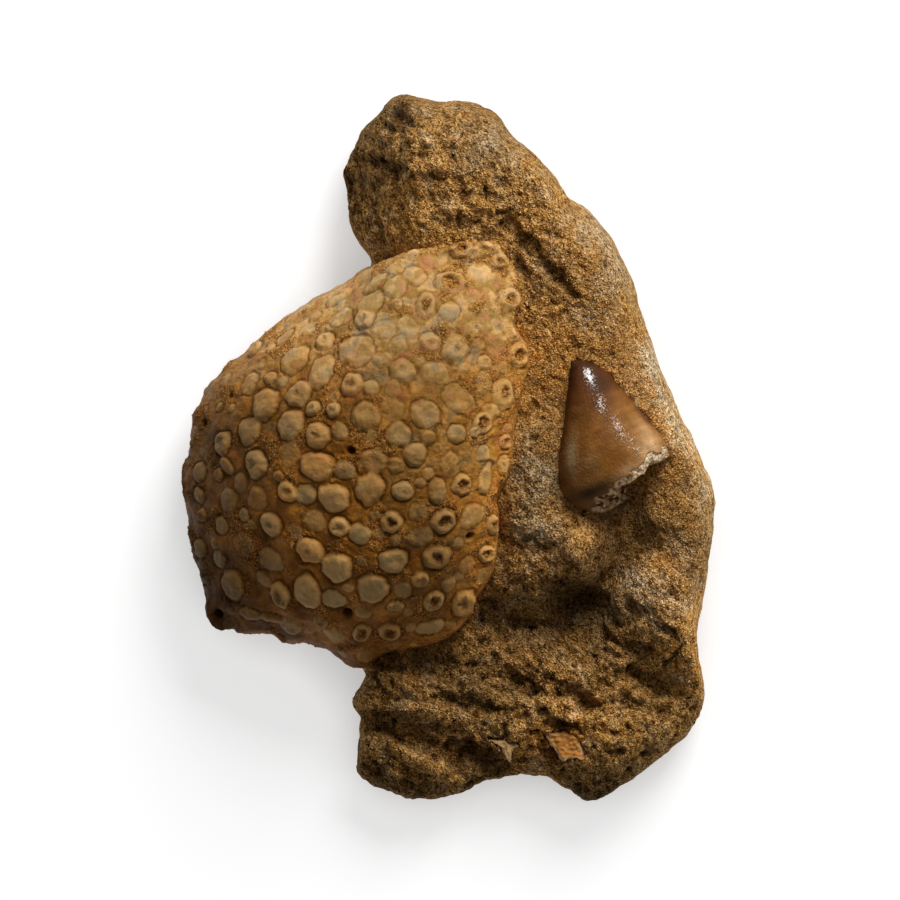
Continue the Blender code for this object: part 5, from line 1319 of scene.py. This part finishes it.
def worn_enamel(look):
    """Pavement of studs of fossil enamel, worn smooth by rolling and stained by iron.

    The studs are satin and grey-beige with paler rims, partly a painted highlight, the ground between
    them a honey ochre, and sand sits in the gaps; where the plate is worn flush it is paler and tinged
    pink. Painted shade darkens the grooves round the studs and, with grime, the pits; it also warms
    the lower half, along with the iron stain, and the paleness is partly painted light and shade.
    """
    finish, tree, shader, place, masks = new_finish("worn_enamel_plate", (
        "stud", "rim", "groove", "pit", "lip", "worn", "tinge", "pink", "sand", "tone", "iron"))
    stud, rim, groove, pit, lip, worn, tinge, pink, sand, tone, iron = masks
    stain = add_node(tree, NOISE, None, {"Vector": place, "Scale": per_metre(6.0), "Detail": 3.0})
    mottle = add_node(tree, NOISE, None, {
        "Vector": place, "Scale": per_metre(1.8), "Detail": 4.0, "Roughness": 0.65,
    })
    ground = add_node(tree, RAMP, {"stops": (
        (0.32, look.deep_stain_and_painted_shade_colour), (0.50, look.ground_colour), (0.68, look.pale_ground_colour),
    )}, {"Fac": stain})
    tinge = add_node(tree, MATH, TIMES_PLUS, {
        0: mottle, 1: 0.7, 2: add_node(tree, MATH, TIMES, {0: tinge, 1: 0.6}),
    })
    enamel = add_node(tree, RAMP, {"stops": (
        (0.35, look.grey_stud_colour), (0.62, look.stud_colour), (0.90, look.warm_stud_colour),
    )}, {"Fac": tinge})
    # Paler rims round the studs: partly worn enamel, partly a painted highlight.
    rim = add_node(tree, MATH, TIMES, {0: rim, 1: 0.40})
    enamel = add_node(tree, MIX, OVER, {0: rim, 6: enamel, 7: look.worn_colour}, 2)
    colour = add_node(tree, MIX, OVER, {0: stud, 6: ground, 7: enamel}, 2)
    pink = add_node(tree, MATH, TIMES, {0: pink, 1: 0.6})
    colour = add_node(tree, MIX, OVER, {0: pink, 6: colour, 7: look.pink_colour}, 2)
    # Worn flush, the enamel shows in flat patches of pink and of bluish grey.
    patches = add_node(tree, NOISE, None, {"Vector": place, "Scale": per_metre(4.5), "Detail": 2.0})
    worn_colour = add_node(tree, RAMP, {"stops": (
        (0.34, look.grey_stud_colour), (0.44, look.worn_colour), (0.54, look.olive_colour),
        (0.66, look.pink_colour),
    )}, {"Fac": patches})
    worn = add_node(tree, MATH, TIMES_PLUS, {0: worn, 1: 0.72, 2: 0.06})
    colour = add_node(tree, MIX, OVER, {0: worn, 6: colour, 7: worn_colour}, 2)
    lip = add_node(tree, MATH, TIMES, {0: lip, 1: 0.45})
    colour = add_node(tree, MIX, OVER, {0: lip, 6: colour, 7: look.worn_colour}, 2)
    # Painted shade: the grooves round the studs are darkened, as a contact shadow at their feet.
    groove = add_node(tree, MATH, TIMES, {0: groove, 1: 0.65})
    colour = add_node(tree, MIX, OVER, {0: groove, 6: colour, 7: look.deep_stain_and_painted_shade_colour}, 2)
    # Pits are darkened: grime, and painted shade in the recess.
    pit = add_node(tree, MATH, TIMES, {0: pit, 1: 0.8})
    colour = add_node(tree, MIX, OVER, {0: pit, 6: colour, 7: look.pit_dirt_and_painted_shade_colour}, 2)
    fine = add_node(tree, NOISE, None, {
        "Vector": place, "Scale": per_metre(0.7), "Detail": 3.0, "Roughness": 0.7,
    })
    fine_tint = add_node(tree, RANGE, None, {
        "Value": fine, "From Min": 0.3, "From Max": 0.7, "To Min": 0.76, "To Max": 1.24,
    })
    # The studs are smoother and plainer than the ground.
    plain = add_node(tree, RANGE, None, {"Value": stud, "To Min": 1.0, "To Max": 0.4})
    colour = add_node(tree, MIX, TINTED, {0: plain, 6: colour, 7: fine_tint}, 2)
    grains, cells = caught_sand(tree, place, look, mottle)
    colour = add_node(tree, MIX, OVER, {0: sand, 6: colour, 7: grains}, 2)
    # Warm tint of the lower half: iron stain and painted shade.
    colour = add_node(tree, MIX, TINTED, {0: iron, 6: colour, 7: look.iron_and_painted_shade_colour}, 2)
    # Paleness, partly painted light and shade: darker on the left, away from the light.
    colour = add_node(tree, MIX, TINTED, {0: 1.0, 6: colour, 7: tone}, 2)
    roughness = add_node(tree, MATH, TIMES_PLUS, {0: sand, 1: 0.35, 2: 0.55})
    gritty = add_node(tree, MATH, TIMES, {0: cells, 1: sand})
    relief = add_node(tree, MATH, TIMES_PLUS, {0: mottle, 1: 0.20, 2: gritty})
    relief = add_node(tree, MATH, TIMES_PLUS, {0: fine, 1: plain, 2: relief})
    normal = add_node(tree, BUMP, None, {
        "Height": relief, "Strength": 0.9, "Distance": 0.40 * METRES_PER_MM,
    })
    fill_inputs(tree, shader, {
        "Base Color": colour, "Roughness": roughness, "Specular IOR Level": 0.10, "Normal": normal,
    })
    return finish


def chipped_dentine(tree, place, look, chalky):
    """Colour of the broken dentine, stained to chalky chips between cracks, and its crumbs."""
    chips = add_node(tree, CELLS, None, {"Vector": place, "Scale": per_metre(1.1)}, "Color")
    chips = add_node(tree, SPLIT, None, {0: chips})
    crumbs = add_node(tree, NOISE, None, {
        "Vector": place, "Scale": per_metre(0.8), "Detail": 4.0, "Roughness": 0.7,
    })
    value = add_node(tree, MATH, TIMES_PLUS, {
        0: crumbs, 1: 0.55, 2: add_node(tree, MATH, TIMES, {0: chips, 1: 0.48}),
    })
    # Paleness by bearing: partly chalky dentine, partly painted light.
    value = add_node(tree, MATH, TIMES_PLUS, {0: chalky, 1: 0.32, 2: value})
    chalk = add_node(tree, RAMP, {"stops": (
        (0.40, look.dentine_dark_colour), (0.58, look.dentine_colour),
        (0.78, look.dentine_pale_colour), (1.00, look.dentine_white_colour),
    )}, {"Fac": value})
    cracks = add_node(tree, CELLS, {"feature": "DISTANCE_TO_EDGE"}, {
        "Vector": place, "Scale": per_metre(1.1),
    })
    crack_tint = add_node(tree, RANGE, None, {
        "Value": cracks, "From Min": 0.0, "From Max": 0.10, "To Min": 0.30, "To Max": 1.0,
    })
    return add_node(tree, MIX, TINTED, {0: 1.0, 6: chalk, 7: crack_tint}, 2), crumbs


def polished_enamel(look):
    """Fossil tooth enamel, stained brown and still glossy, over chipped dentine at the base.

    The gloss is broken by fine wrinkles into sparkles, strongest near the dark tip; the body is
    amber with faint bands across it, and the broken base is chalky with dark cracks. The dark
    patches on the left flank and at the foot of the base are partly painted shade, and the base's
    paleness by bearing is partly painted light.
    """
    finish, tree, shader, place, masks = new_finish("polished_fossil_enamel", (
        "along", "round_cos", "round_sin", "side", "pale", "warm", "edge", "dark", "streak",
        "gloss", "broken", "chalky"))
    along, round_cos, round_sin, side, pale, warm, edge, dark, streak, gloss, broken, chalky = masks
    share = add_node(tree, MATH, TIMES, {0: along, 1: 1 / TOOTH_LENGTH})
    # Round the crown one unit is the whole half width, so forty cells are ridges of 0.25 mm.
    fibre_place = add_node(tree, "ShaderNodeCombineXYZ", None, {
        "X": round_cos, "Y": round_sin, "Z": add_node(tree, MATH, TIMES, {0: along, 1: 0.012}),
    })
    fibres = add_node(tree, NOISE, None, {"Vector": fibre_place, "Scale": 40.0, "Detail": 3.0})
    band_place = add_node(tree, "ShaderNodeCombineXYZ", None, {
        "X": add_node(tree, MATH, TIMES, {0: round_cos, 1: 0.5}), "Z": along,
    })
    bands = add_node(tree, NOISE, None, {"Vector": band_place, "Scale": 0.9, "Detail": 3.0})
    colour = add_node(tree, RAMP, {"stops": (
        (0.00, look.tip_colour), (0.22, look.neck_colour), (0.46, look.body_colour),
        (0.82, look.body_colour), (1.00, look.base_colour),
    )}, {"Fac": share})
    # Among these, the dark patches and the foot colour are partly painted shade.
    for mask, strength, over in (
        (side, 1.0, look.side_colour), (pale, 0.8, look.patch_colour), (warm, 0.7, look.warm_colour),
        (edge, 0.75, look.edge_colour), (dark, 0.85, look.foot_stain_and_painted_shade_colour), (streak, 0.7, look.streak_colour),
    ):
        mask = add_node(tree, MATH, TIMES, {0: mask, 1: strength})
        colour = add_node(tree, MIX, OVER, {0: mask, 6: colour, 7: over}, 2)
    clouds = add_node(tree, NOISE, None, {"Vector": place, "Scale": per_metre(2.6), "Detail": 3.0})
    for pattern, least, most in ((bands, 0.88, 1.12), (fibres, 0.97, 1.03), (clouds, 0.78, 1.20)):
        pattern = add_node(tree, RANGE, None, {
            "Value": pattern, "From Min": 0.35, "From Max": 0.65, "To Min": least, "To Max": most,
        })
        colour = add_node(tree, MIX, TINTED, {0: 1.0, 6: colour, 7: pattern}, 2)
    chalk, crumbs = chipped_dentine(tree, place, look, chalky)
    colour = add_node(tree, MIX, OVER, {0: broken, 6: colour, 7: chalk}, 2)
    wrinkles = add_node(tree, NOISE, None, {
        "Vector": place, "Scale": per_metre(0.55), "Detail": 2.0, "Roughness": 0.5,
    })
    # The tip is nearly smooth; further down the wrinkles break the polish into sparkles.
    wrinkled = add_node(tree, RANGE, None, {
        "Value": along, "From Min": 5.0, "From Max": 10.0, "To Min": 0.35, "To Max": 1.0,
    })
    relief = add_node(tree, MATH, TIMES, {0: wrinkles, 1: wrinkled})
    relief = add_node(tree, MATH, TIMES_PLUS, {0: fibres, 1: 0.12, 2: relief})
    sparkle = add_node(tree, RANGE, None, {
        "Value": wrinkles, "From Min": 0.40, "From Max": 0.62, "To Min": -0.6, "To Max": 0.6,
    })
    polish = add_node(tree, MATH, PLUS, {0: gloss, 1: sparkle})
    polish = add_node(tree, MATH, {"operation": "MULTIPLY", "use_clamp": True}, {0: gloss, 1: polish})
    chipped = add_node(tree, MATH, TIMES, {0: crumbs, 1: broken})
    relief = add_node(tree, MATH, TIMES_PLUS, {0: chipped, 1: 2.0, 2: relief})
    normal = add_node(tree, BUMP, None, {
        "Height": relief, "Strength": 1.0, "Distance": 0.20 * METRES_PER_MM,
    })
    roughness = add_node(tree, MATH, TIMES_PLUS, {0: broken, 1: 0.4, 2: look.body_roughness})
    fill_inputs(tree, shader, {
        "Base Color": colour, "Roughness": roughness, "Specular IOR Level": 0.07, "Normal": normal,
        "Coat Weight": polish, "Coat Roughness": look.gloss_roughness, "Coat IOR": 1.8,
        "Coat Normal": normal,
    })
    return finish


def fossil_bone(look, name, main_colour, rim_colour):
    """Broken fossil bone, matt and chalky, with brown stains in its pores and a pale worn edge."""
    finish, tree, shader, place, (rim,) = new_finish(name, ("rim",))
    pores = add_node(tree, NOISE, None, {
        "Vector": place, "Scale": per_metre(0.5), "Detail": 5.0, "Roughness": 0.7,
    })
    cloud = add_node(tree, NOISE, None, {"Vector": place, "Scale": per_metre(3.0)})
    value = add_node(tree, MATH, TIMES_PLUS, {
        0: pores, 1: 0.6, 2: add_node(tree, MATH, TIMES, {0: cloud, 1: 0.4}),
    })
    colour = add_node(tree, RAMP, {"stops": (
        (0.26, look.pore_colour), (0.48, main_colour), (0.72, look.edge_colour),
    )}, {"Fac": value})
    colour = add_node(tree, MIX, OVER, {0: rim, 6: colour, 7: rim_colour}, 2)
    normal = add_node(tree, BUMP, None, {
        "Height": pores, "Strength": 0.8, "Distance": 0.35 * METRES_PER_MM,
    })
    fill_inputs(tree, shader, {
        "Base Color": colour, "Roughness": 0.8, "Specular IOR Level": 0.2, "Normal": normal,
    })
    return finish


def loose_sand(look):
    """Loose quartz and lime sand: each grain one shade, from umber through ochre to cream."""
    finish, tree, shader, _, (shade, tone) = new_finish("loose_sand", ("shade", "tone"))
    colour = add_node(tree, RAMP, {"stops": (
        (0.05, look.dark_colour), (0.40, look.sand_colour), (0.75, look.pale_colour),
        (1.00, look.white_colour),
    )}, {"Fac": shade})
    # The grains take the paleness of the surface they lie on, with its painted light and shade.
    colour = add_node(tree, MIX, TINTED, {0: 1.0, 6: colour, 7: tone}, 2)
    fill_inputs(tree, shader, {"Base Color": colour, "Roughness": 0.8, "Specular IOR Level": 0.2})
    return finish


def colour_property(name, description, code):
    """Colour that a user may change."""
    return bpy.props.FloatVectorProperty(
        name=name, description=description, subtype="COLOR", default=linear(code))


def length_property(name, description, millimetres):
    """Length that a user may change."""
    return bpy.props.FloatProperty(
        name=name, description=description, unit="LENGTH", precision=5,
        default=millimetres * METRES_PER_MM)


class MatrixLook(bpy.types.PropertyGroup):
    """Sizes and colours of the sandy matrix."""

    grid_cells: bpy.props.IntProperty(
        name="Grid cells", description="Squares across the top of the block", default=284)
    roughness: bpy.props.FloatProperty(
        name="Roughness", description="Share of the full height of the fine relief", default=1.0)
    pit_depth: length_property("Pit depth", "Depth of the pits in the stone", 0.9)
    grain_width: length_property("Grain width", "Width of the grains, coarse enough to show", 0.38)
    sand_colour: colour_property("Sand", "Main colour of the grains", "94642a")
    tan_colour: colour_property("Tan grains", "Paler than most grains", "b2864a")
    # The darkest grains' colour also darkens the pores and hollows as painted shade.
    dark_colour: colour_property("Dark grains", "Darkest grains, and the dirt in hollows", "482a0e")
    pale_colour: colour_property("Pale grains", "Palest grains", "d2ab70")
    ochre_colour: colour_property("Iron stain", "Iron-stained grains", "a1661a")
    pale_ochre_colour: colour_property("Pale iron stain", "Palest iron-stained grains", "d8a553")
    # Grey where the stone is cleaner, and as painted light on faces towards the light.
    grey_colour: colour_property("Clean stone", "Cleaner, greyer stone", "a2875f")
    dark_grey_colour: colour_property("Dark clean stone", "Darkest clean grains", "5a4222")
    pale_grey_colour: colour_property("Pale clean stone", "Palest clean grains", "d9c3a0")


class PlateLook(bpy.types.PropertyGroup):
    """Fineness and colours of the studded plate."""

    grid_cells: bpy.props.IntProperty(
        name="Grid cells", description="Squares across the plate", default=288)
    stud_colour: colour_property("Studs", "Enamel of most studs", "b09468")
    grey_stud_colour: colour_property("Grey studs", "Enamel of the greyest studs", "9f8e6b")
    warm_stud_colour: colour_property("Warm studs", "The warmest studs", "b0834b")
    pink_colour: colour_property("Pink studs", "Pink tinge of a few studs", "b57c50")
    ground_colour: colour_property("Ground", "Honey-coloured ground between the studs", "936017")
    pale_ground_colour: colour_property("Pale ground", "Palest ground between the studs", "ba843c")
    # Stain, and painted shade in the grooves round the studs.
    deep_stain_and_painted_shade_colour: colour_property("Grooves", "Stain in the grooves round the studs", "58390c")
    olive_colour: colour_property("Olive enamel", "Yellowish patches of the enamel", "a07e3c")
    worn_colour: colour_property("Worn enamel", "Pale enamel where the plate is worn flush", "cfa368")
    # Grime and painted shade in the pits; also the darkest caught sand.
    pit_dirt_and_painted_shade_colour: colour_property("Pits", "Dirt in the pits", "482b0e")
    # Warm tint of the shaded lower half: iron stain and painted shade.
    iron_and_painted_shade_colour: colour_property("Iron stain", "Tints the lower half of the plate", "ffe8b8")
    sand_colour: colour_property("Sand", "Sand caught between the studs", "9e6622")


class CrownLook(bpy.types.PropertyGroup):
    """Gloss and colours of the tooth crown."""

    gloss_roughness: bpy.props.FloatProperty(
        name="Gloss roughness", description="Roughness of the polish that is left", default=0.04)
    body_roughness: bpy.props.FloatProperty(
        name="Body roughness", description="Roughness of the satin body", default=0.50)
    tip_colour: colour_property("Tip", "Dark enamel of the tip", "40220f")
    neck_colour: colour_property("Below the tip", "Enamel just below the tip", "5c3417")
    body_colour: colour_property("Body", "Amber enamel of the body", "754b20")
    base_colour: colour_property("Base", "Enamel near the base", "836039")
    side_colour: colour_property("Right side", "Paler amber of the right side", "956129")
    patch_colour: colour_property("Pale patch", "Pinkish tan patch on the right side", "c69e6e")
    warm_colour: colour_property("Warm patches", "Orange-brown patches near the base", "905a1c")
    edge_colour: colour_property("Right edge", "Red-brown along the right edge", "5d321a")
    # Dark stain, and painted shade at the lower left, away from the light.
    foot_stain_and_painted_shade_colour: colour_property("Lower left", "Nearly black brown of the lower left", "2c1a0b")
    streak_colour: colour_property("Streak", "Grey film on the left side", "a08c66")
    dentine_colour: colour_property("Dentine", "Chalky dentine at the base", "bc8e60")
    dentine_pale_colour: colour_property("Pale dentine", "Palest chips at the base", "ecc89c")
    dentine_dark_colour: colour_property("Stained dentine", "Stained chips at the base", "5e3a1c")
    dentine_white_colour: colour_property("White dentine", "Whitest chips at the base", "efd5ac")


class ChipLook(bpy.types.PropertyGroup):
    """Colours of the chips of bone."""

    pale_colour: colour_property("Pale chip", "Bone of the pale chip", "c49c68")
    orange_colour: colour_property("Orange chip", "Bone of the orange-brown chip", "c58238")
    pore_colour: colour_property("Pores", "Stain in the pores", "613b16")
    edge_colour: colour_property("Worn bone", "Pale worn bone", "cfa870")
    pale_rim_colour: colour_property("Rim", "Pinkish worn rim of the chips", "cfae88")


class SandLook(bpy.types.PropertyGroup):
    """Colours and fineness of the loose sand."""

    smallest: length_property("Smallest grain", "Half width of the smallest", GRAIN_HALF_WIDTHS[0])
    largest: length_property("Largest grain", "Half width of the largest", GRAIN_HALF_WIDTHS[1])
    sand_colour: colour_property("Sand", "Most grains", "98672a")
    dark_colour: colour_property("Dark", "Dark grains", "4c2d0f")
    pale_colour: colour_property("Pale", "Pale grains", "c89f62")
    white_colour: colour_property("White", "Palest grains", "d2b488")


class StageLook(bpy.types.PropertyGroup):
    """Light, floor and camera."""

    key_bearing: bpy.props.FloatProperty(
        name="Key bearing", description="Bearing of the soft box, from the right of the photograph",
        default=math.radians(67), subtype="ANGLE")
    key_rise: bpy.props.FloatProperty(
        name="Key rise", description="Angle of the soft box above the floor",
        default=math.radians(40), subtype="ANGLE")
    key_distance: bpy.props.FloatProperty(
        name="Key distance", description="Distance of the soft box", default=0.95, unit="LENGTH")
    key_size: bpy.props.FloatProperty(
        name="Key size", description="Width of the soft box", default=0.42, unit="LENGTH")
    key_power: bpy.props.FloatProperty(
        name="Key power", description="Power of the soft box", default=9.0, unit="POWER")
    fill: bpy.props.FloatProperty(
        name="Fill", description="Brightness of the white surroundings", default=0.12)
    floor_glow: bpy.props.FloatProperty(
        name="Floor glow", description="Brightness of the backlit white floor", default=0.72)
    lens: bpy.props.FloatProperty(
        name="Lens", description="Focal length of the camera in millimetres", default=400.0)


class FOSSIL_OT_matrix_block(bpy.types.Operator):
    """Make the block of sandy matrix"""

    bl_idname = "fossil.matrix_block"
    bl_label = "Matrix block"

    def execute(self, context):
        look = context.scene.matrix_look
        points, quads, fan, masks = block_pieces(look)
        finish = sandy_limestone(look)
        add_piece("sandy_matrix", points, (quads, fan), finish, "sandy_limestone_matrix", masks,
                  ("matrix_block",))
        return {"FINISHED"}


class FOSSIL_OT_button_plate(bpy.types.Operator):
    """Make the domed plate with its studs"""

    bl_idname = "fossil.button_plate"
    bl_label = "Button plate"

    def execute(self, context):
        look = context.scene.plate_look
        points, quads, fan, masks = plate_surface(look)
        add_piece("studded_plate", points, (quads, fan), worn_enamel(look), "worn_enamel_plate",
                  masks, ("button_plate",))
        return {"FINISHED"}


class FOSSIL_OT_tooth_crown(bpy.types.Operator):
    """Make the tooth crown"""

    bl_idname = "fossil.tooth_crown"
    bl_label = "Tooth crown"

    def execute(self, context):
        points, quads, caps, masks = crown_surface()
        finish = polished_enamel(context.scene.crown_look)
        add_piece("tooth_crown", points, (quads, caps), finish, "polished_fossil_enamel", masks,
                  ("mosasaur_tooth",))
        return {"FINISHED"}


class FOSSIL_OT_bone_chips(bpy.types.Operator):
    """Make the two chips of bone"""

    bl_idname = "fossil.bone_chips"
    bl_label = "Bone chips"

    def execute(self, context):
        look = context.scene.chip_look
        colours = {"bone_chip_pale": look.pale_colour, "bone_chip_orange": look.orange_colour}
        for seed, (node, (outline, top, depth)) in enumerate(CHIPS.items()):
            points, quads, fan, masks = chip_surface(outline, top, depth, 30.0 * seed)
            finish = fossil_bone(look, "fossil_" + node, colours[node], look.pale_rim_colour)
            add_piece("fossil_" + node, points, (quads, fan), finish, "fossil_bone", masks, (node,))
        return {"FINISHED"}


def scatter_grains(name, piece, count, weights, tones_and_painted_light, seed, look, share=1.0):
    """Grains on a piece: points of its surface drawn by weight, each shifted a little along it.

    A grain's place is the point plus a random step in its tangent plane, its half width is
    spread between the smallest and the largest, and one shade holds for all its corners.
    """
    random = np.random.default_rng(seed)
    points = mesh_rows(piece, "co") / METRES_PER_MM
    normals = mesh_rows(piece, "normal")
    drawn = random.choice(len(points), count, p=weights / weights.sum())
    step = random.normal(0, GRAIN_STEP, (count, 3))
    step -= normals[drawn] * np.sum(step * normals[drawn], axis=1)[:, None]
    smallest = look.smallest / METRES_PER_MM
    largest = look.largest / METRES_PER_MM
    half_widths = share * (smallest + (largest - smallest) * random.uniform(0, 1, count)**2)
    places = points[drawn] + step
    corners, faces = grain_shapes(places, normals[drawn], half_widths, random)
    masks = {
        "shade": np.repeat(random.beta(2.2, 3.0, count), 6),
        "tone": np.repeat(tones_and_painted_light[drawn], 6),
    }
    finish = bpy.data.materials.get("loose_sand") or loose_sand(look)
    return add_piece(name, corners, (faces,), finish, piece["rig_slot"], masks)


def mesh_mask(piece, title):
    """A piece's mask as an array."""
    values = np.zeros(len(piece.data.vertices))
    piece.data.attributes[title].data.foreach_get("value", values)
    return values


def mesh_rows(piece, title):
    """A piece's points in metres, "co", or its outward directions, "normal", as rows."""
    rows = np.zeros(len(piece.data.vertices) * 3)
    piece.data.vertices.foreach_get(title, rows)
    return rows.reshape(-1, 3)


class FOSSIL_OT_loose_sand(bpy.types.Operator):
    """Scatter the loose sand over the block and the plate"""

    bl_idname = "fossil.loose_sand"
    bl_label = "Loose sand"

    def execute(self, context):
        look = context.scene.sand_look
        stone = bpy.data.objects["sandy_matrix"]
        x, y, z = (mesh_rows(stone, "co") / METRES_PER_MM).T
        shown = (plate_inside(x, y) < 0.3) & (crown_inside(x, y) < 0.2) & (z > 1.0)
        for outline, _, _ in CHIPS.values():
            shown &= outline_inside(outline, x, y) < 0.0
        level = smooth_step(0.45, 0.75, mesh_rows(stone, "normal")[:, 2])
        weights = shown * level * (0.45 + 0.55 * mesh_mask(stone, "ochre"))
        # The paleness handed to the grains carries the painted light and shade of the stone and the plate.
        tones_and_painted_light = mesh_mask(stone, "tone") * (1 - 0.35 * mesh_mask(stone, "dirt"))
        for seed, name in enumerate(STONE_GRAIN_PIECES):
            scatter_grains(name, stone, GRAINS_PER_PIECE, weights, tones_and_painted_light, 20 + seed, look)
        plate = bpy.data.objects["studded_plate"]
        sand = mesh_mask(plate, "sand")
        height = mesh_rows(plate, "co")[:, 2] / METRES_PER_MM
        weights = np.where(height > PLATE_UNDERSIDE + 1.0, sand**2, 0.0)
        tones_and_painted_light = mesh_mask(plate, "tone") * PLATE_GRAIN_TONE
        scatter_grains(
            "sand_on_plate", plate, PLATE_GRAINS, weights, tones_and_painted_light, 30, look, PLATE_GRAIN_SHARE)
        return {"FINISHED"}


class FOSSIL_OT_stage(bpy.types.Operator):
    """Make the white floor, the soft light and the camera"""

    bl_idname = "fossil.stage"
    bl_label = "Stage"

    def execute(self, context):
        look = context.scene.stage_look
        scene = context.scene
        scene.view_settings.view_transform = "Standard"
        self.add_floor(look)
        self.add_light(look)
        self.add_camera(look)
        return {"FINISHED"}

    def add_floor(self, look):
        """Backlit white floor, duller close under the object, where its glow is cut by ambient occlusion: a
        painted shadow.
        """
        corners = np.array([(-1, -1, 0), (1, -1, 0), (1, 1, 0), (-1, 1, 0)], float) * FLOOR_HALF_WIDTH
        mesh = bpy.data.meshes.new("white_floor")
        mesh.from_pydata(corners.tolist(), [], [(0, 1, 2, 3)])
        finish, tree, shader, _, _ = new_finish("backlit_white_acrylic")
        # Painted shadow: ambient occlusion dims the floor's glow near the object.
        shade = add_node(tree, "ShaderNodeAmbientOcclusion", {"samples": 16}, {
            "Distance": FLOOR_SHADE_REACH,
        }, "AO")
        eased = add_node(tree, RANGE, None, {
            "Value": shade, "From Min": 0.35, "From Max": 0.80, "To Min": 0.45,
            "To Max": look.floor_glow,
        })
        fill_inputs(tree, shader, {
            "Base Color": linear("bcbcbc"), "Roughness": 1.0, "Specular IOR Level": 0.0,
            "Emission Color": (1.0, 1.0, 1.0), "Emission Strength": eased,
        })
        mesh.materials.append(finish)
        floor = bpy.data.objects.new("white_floor", mesh)
        bpy.context.scene.collection.objects.link(floor)

    def add_light(self, look):
        """One large soft box from the upper right, over weak white surroundings."""
        world = bpy.data.worlds.new("white_room")
        world.use_nodes = True
        background = world.node_tree.nodes["Background"]
        fill_inputs(world.node_tree, background, {"Color": (1.0, 1.0, 1.0), "Strength": look.fill})
        bpy.context.scene.world = world
        light = bpy.data.lights.new("soft_box", "AREA")
        light.shape = "SQUARE"
        light.size = look.key_size
        light.energy = look.key_power
        lamp = bpy.data.objects.new("soft_box", light)
        bpy.context.scene.collection.objects.link(lamp)
        level = math.cos(look.key_rise)
        direction = Vector((
            level * math.cos(look.key_bearing), level * math.sin(look.key_bearing),
            math.sin(look.key_rise),
        ))
        lamp.location = direction * look.key_distance
        lamp.rotation_euler = direction.to_track_quat("Z", "Y").to_euler()

    def add_camera(self, look):
        """Camera straight above, far enough that the object's width fills the frame's share."""
        lens = bpy.data.cameras.new("camera")
        lens.lens = look.lens
        camera = bpy.data.objects.new("camera", lens)
        bpy.context.scene.collection.objects.link(camera)
        distance = FRAME_WIDTH * METRES_PER_MM * look.lens / lens.sensor_width
        x, y, z = CAMERA_AIM
        camera.location = (x * METRES_PER_MM, y * METRES_PER_MM, z * METRES_PER_MM + distance)
        bpy.context.scene.camera = camera


class VIEW3D_PT_fossil(bpy.types.Panel):
    """Lists the sizes, the colours and the operators"""

    bl_label = "Fossil tooth in matrix"
    bl_space_type = "VIEW_3D"
    bl_region_type = "UI"
    bl_category = "Fossil"

    def draw(self, context):
        for title, operator in GROUPS:
            box = self.layout.box()
            look = getattr(context.scene, title)
            for name in look.bl_rna.properties.keys():
                if name not in ("rna_type", "name"):
                    box.prop(look, name)
            box.operator(operator)


# Each property group's name on the scene, with the operator that uses it.
GROUPS = (
    ("matrix_look", "fossil.matrix_block"),
    ("plate_look", "fossil.button_plate"),
    ("crown_look", "fossil.tooth_crown"),
    ("chip_look", "fossil.bone_chips"),
    ("sand_look", "fossil.loose_sand"),
    ("stage_look", "fossil.stage"),
)
LOOKS = (MatrixLook, PlateLook, CrownLook, ChipLook, SandLook, StageLook)
CLASSES = (
    *LOOKS, FOSSIL_OT_matrix_block, FOSSIL_OT_button_plate, FOSSIL_OT_tooth_crown,
    FOSSIL_OT_bone_chips, FOSSIL_OT_loose_sand, FOSSIL_OT_stage, VIEW3D_PT_fossil,
)


def register():
    """Registers the classes, and puts each property group on the scene under its name."""
    for kind in CLASSES:
        bpy.utils.register_class(kind)
    for (title, _), kind in zip(GROUPS, LOOKS):
        setattr(bpy.types.Scene, title, bpy.props.PointerProperty(type=kind))


def unregister():
    """Takes away all that register adds."""
    for title, _ in GROUPS:
        delattr(bpy.types.Scene, title)
    for kind in reversed(CLASSES):
        bpy.utils.unregister_class(kind)


def main():
    """Makes the pieces and the stage."""
    register()
    bpy.ops.fossil.matrix_block()
    bpy.ops.fossil.button_plate()
    bpy.ops.fossil.tooth_crown()
    bpy.ops.fossil.bone_chips()
    bpy.ops.fossil.loose_sand()
    bpy.ops.fossil.stage()
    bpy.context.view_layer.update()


if __name__ == "__main__":
    main()
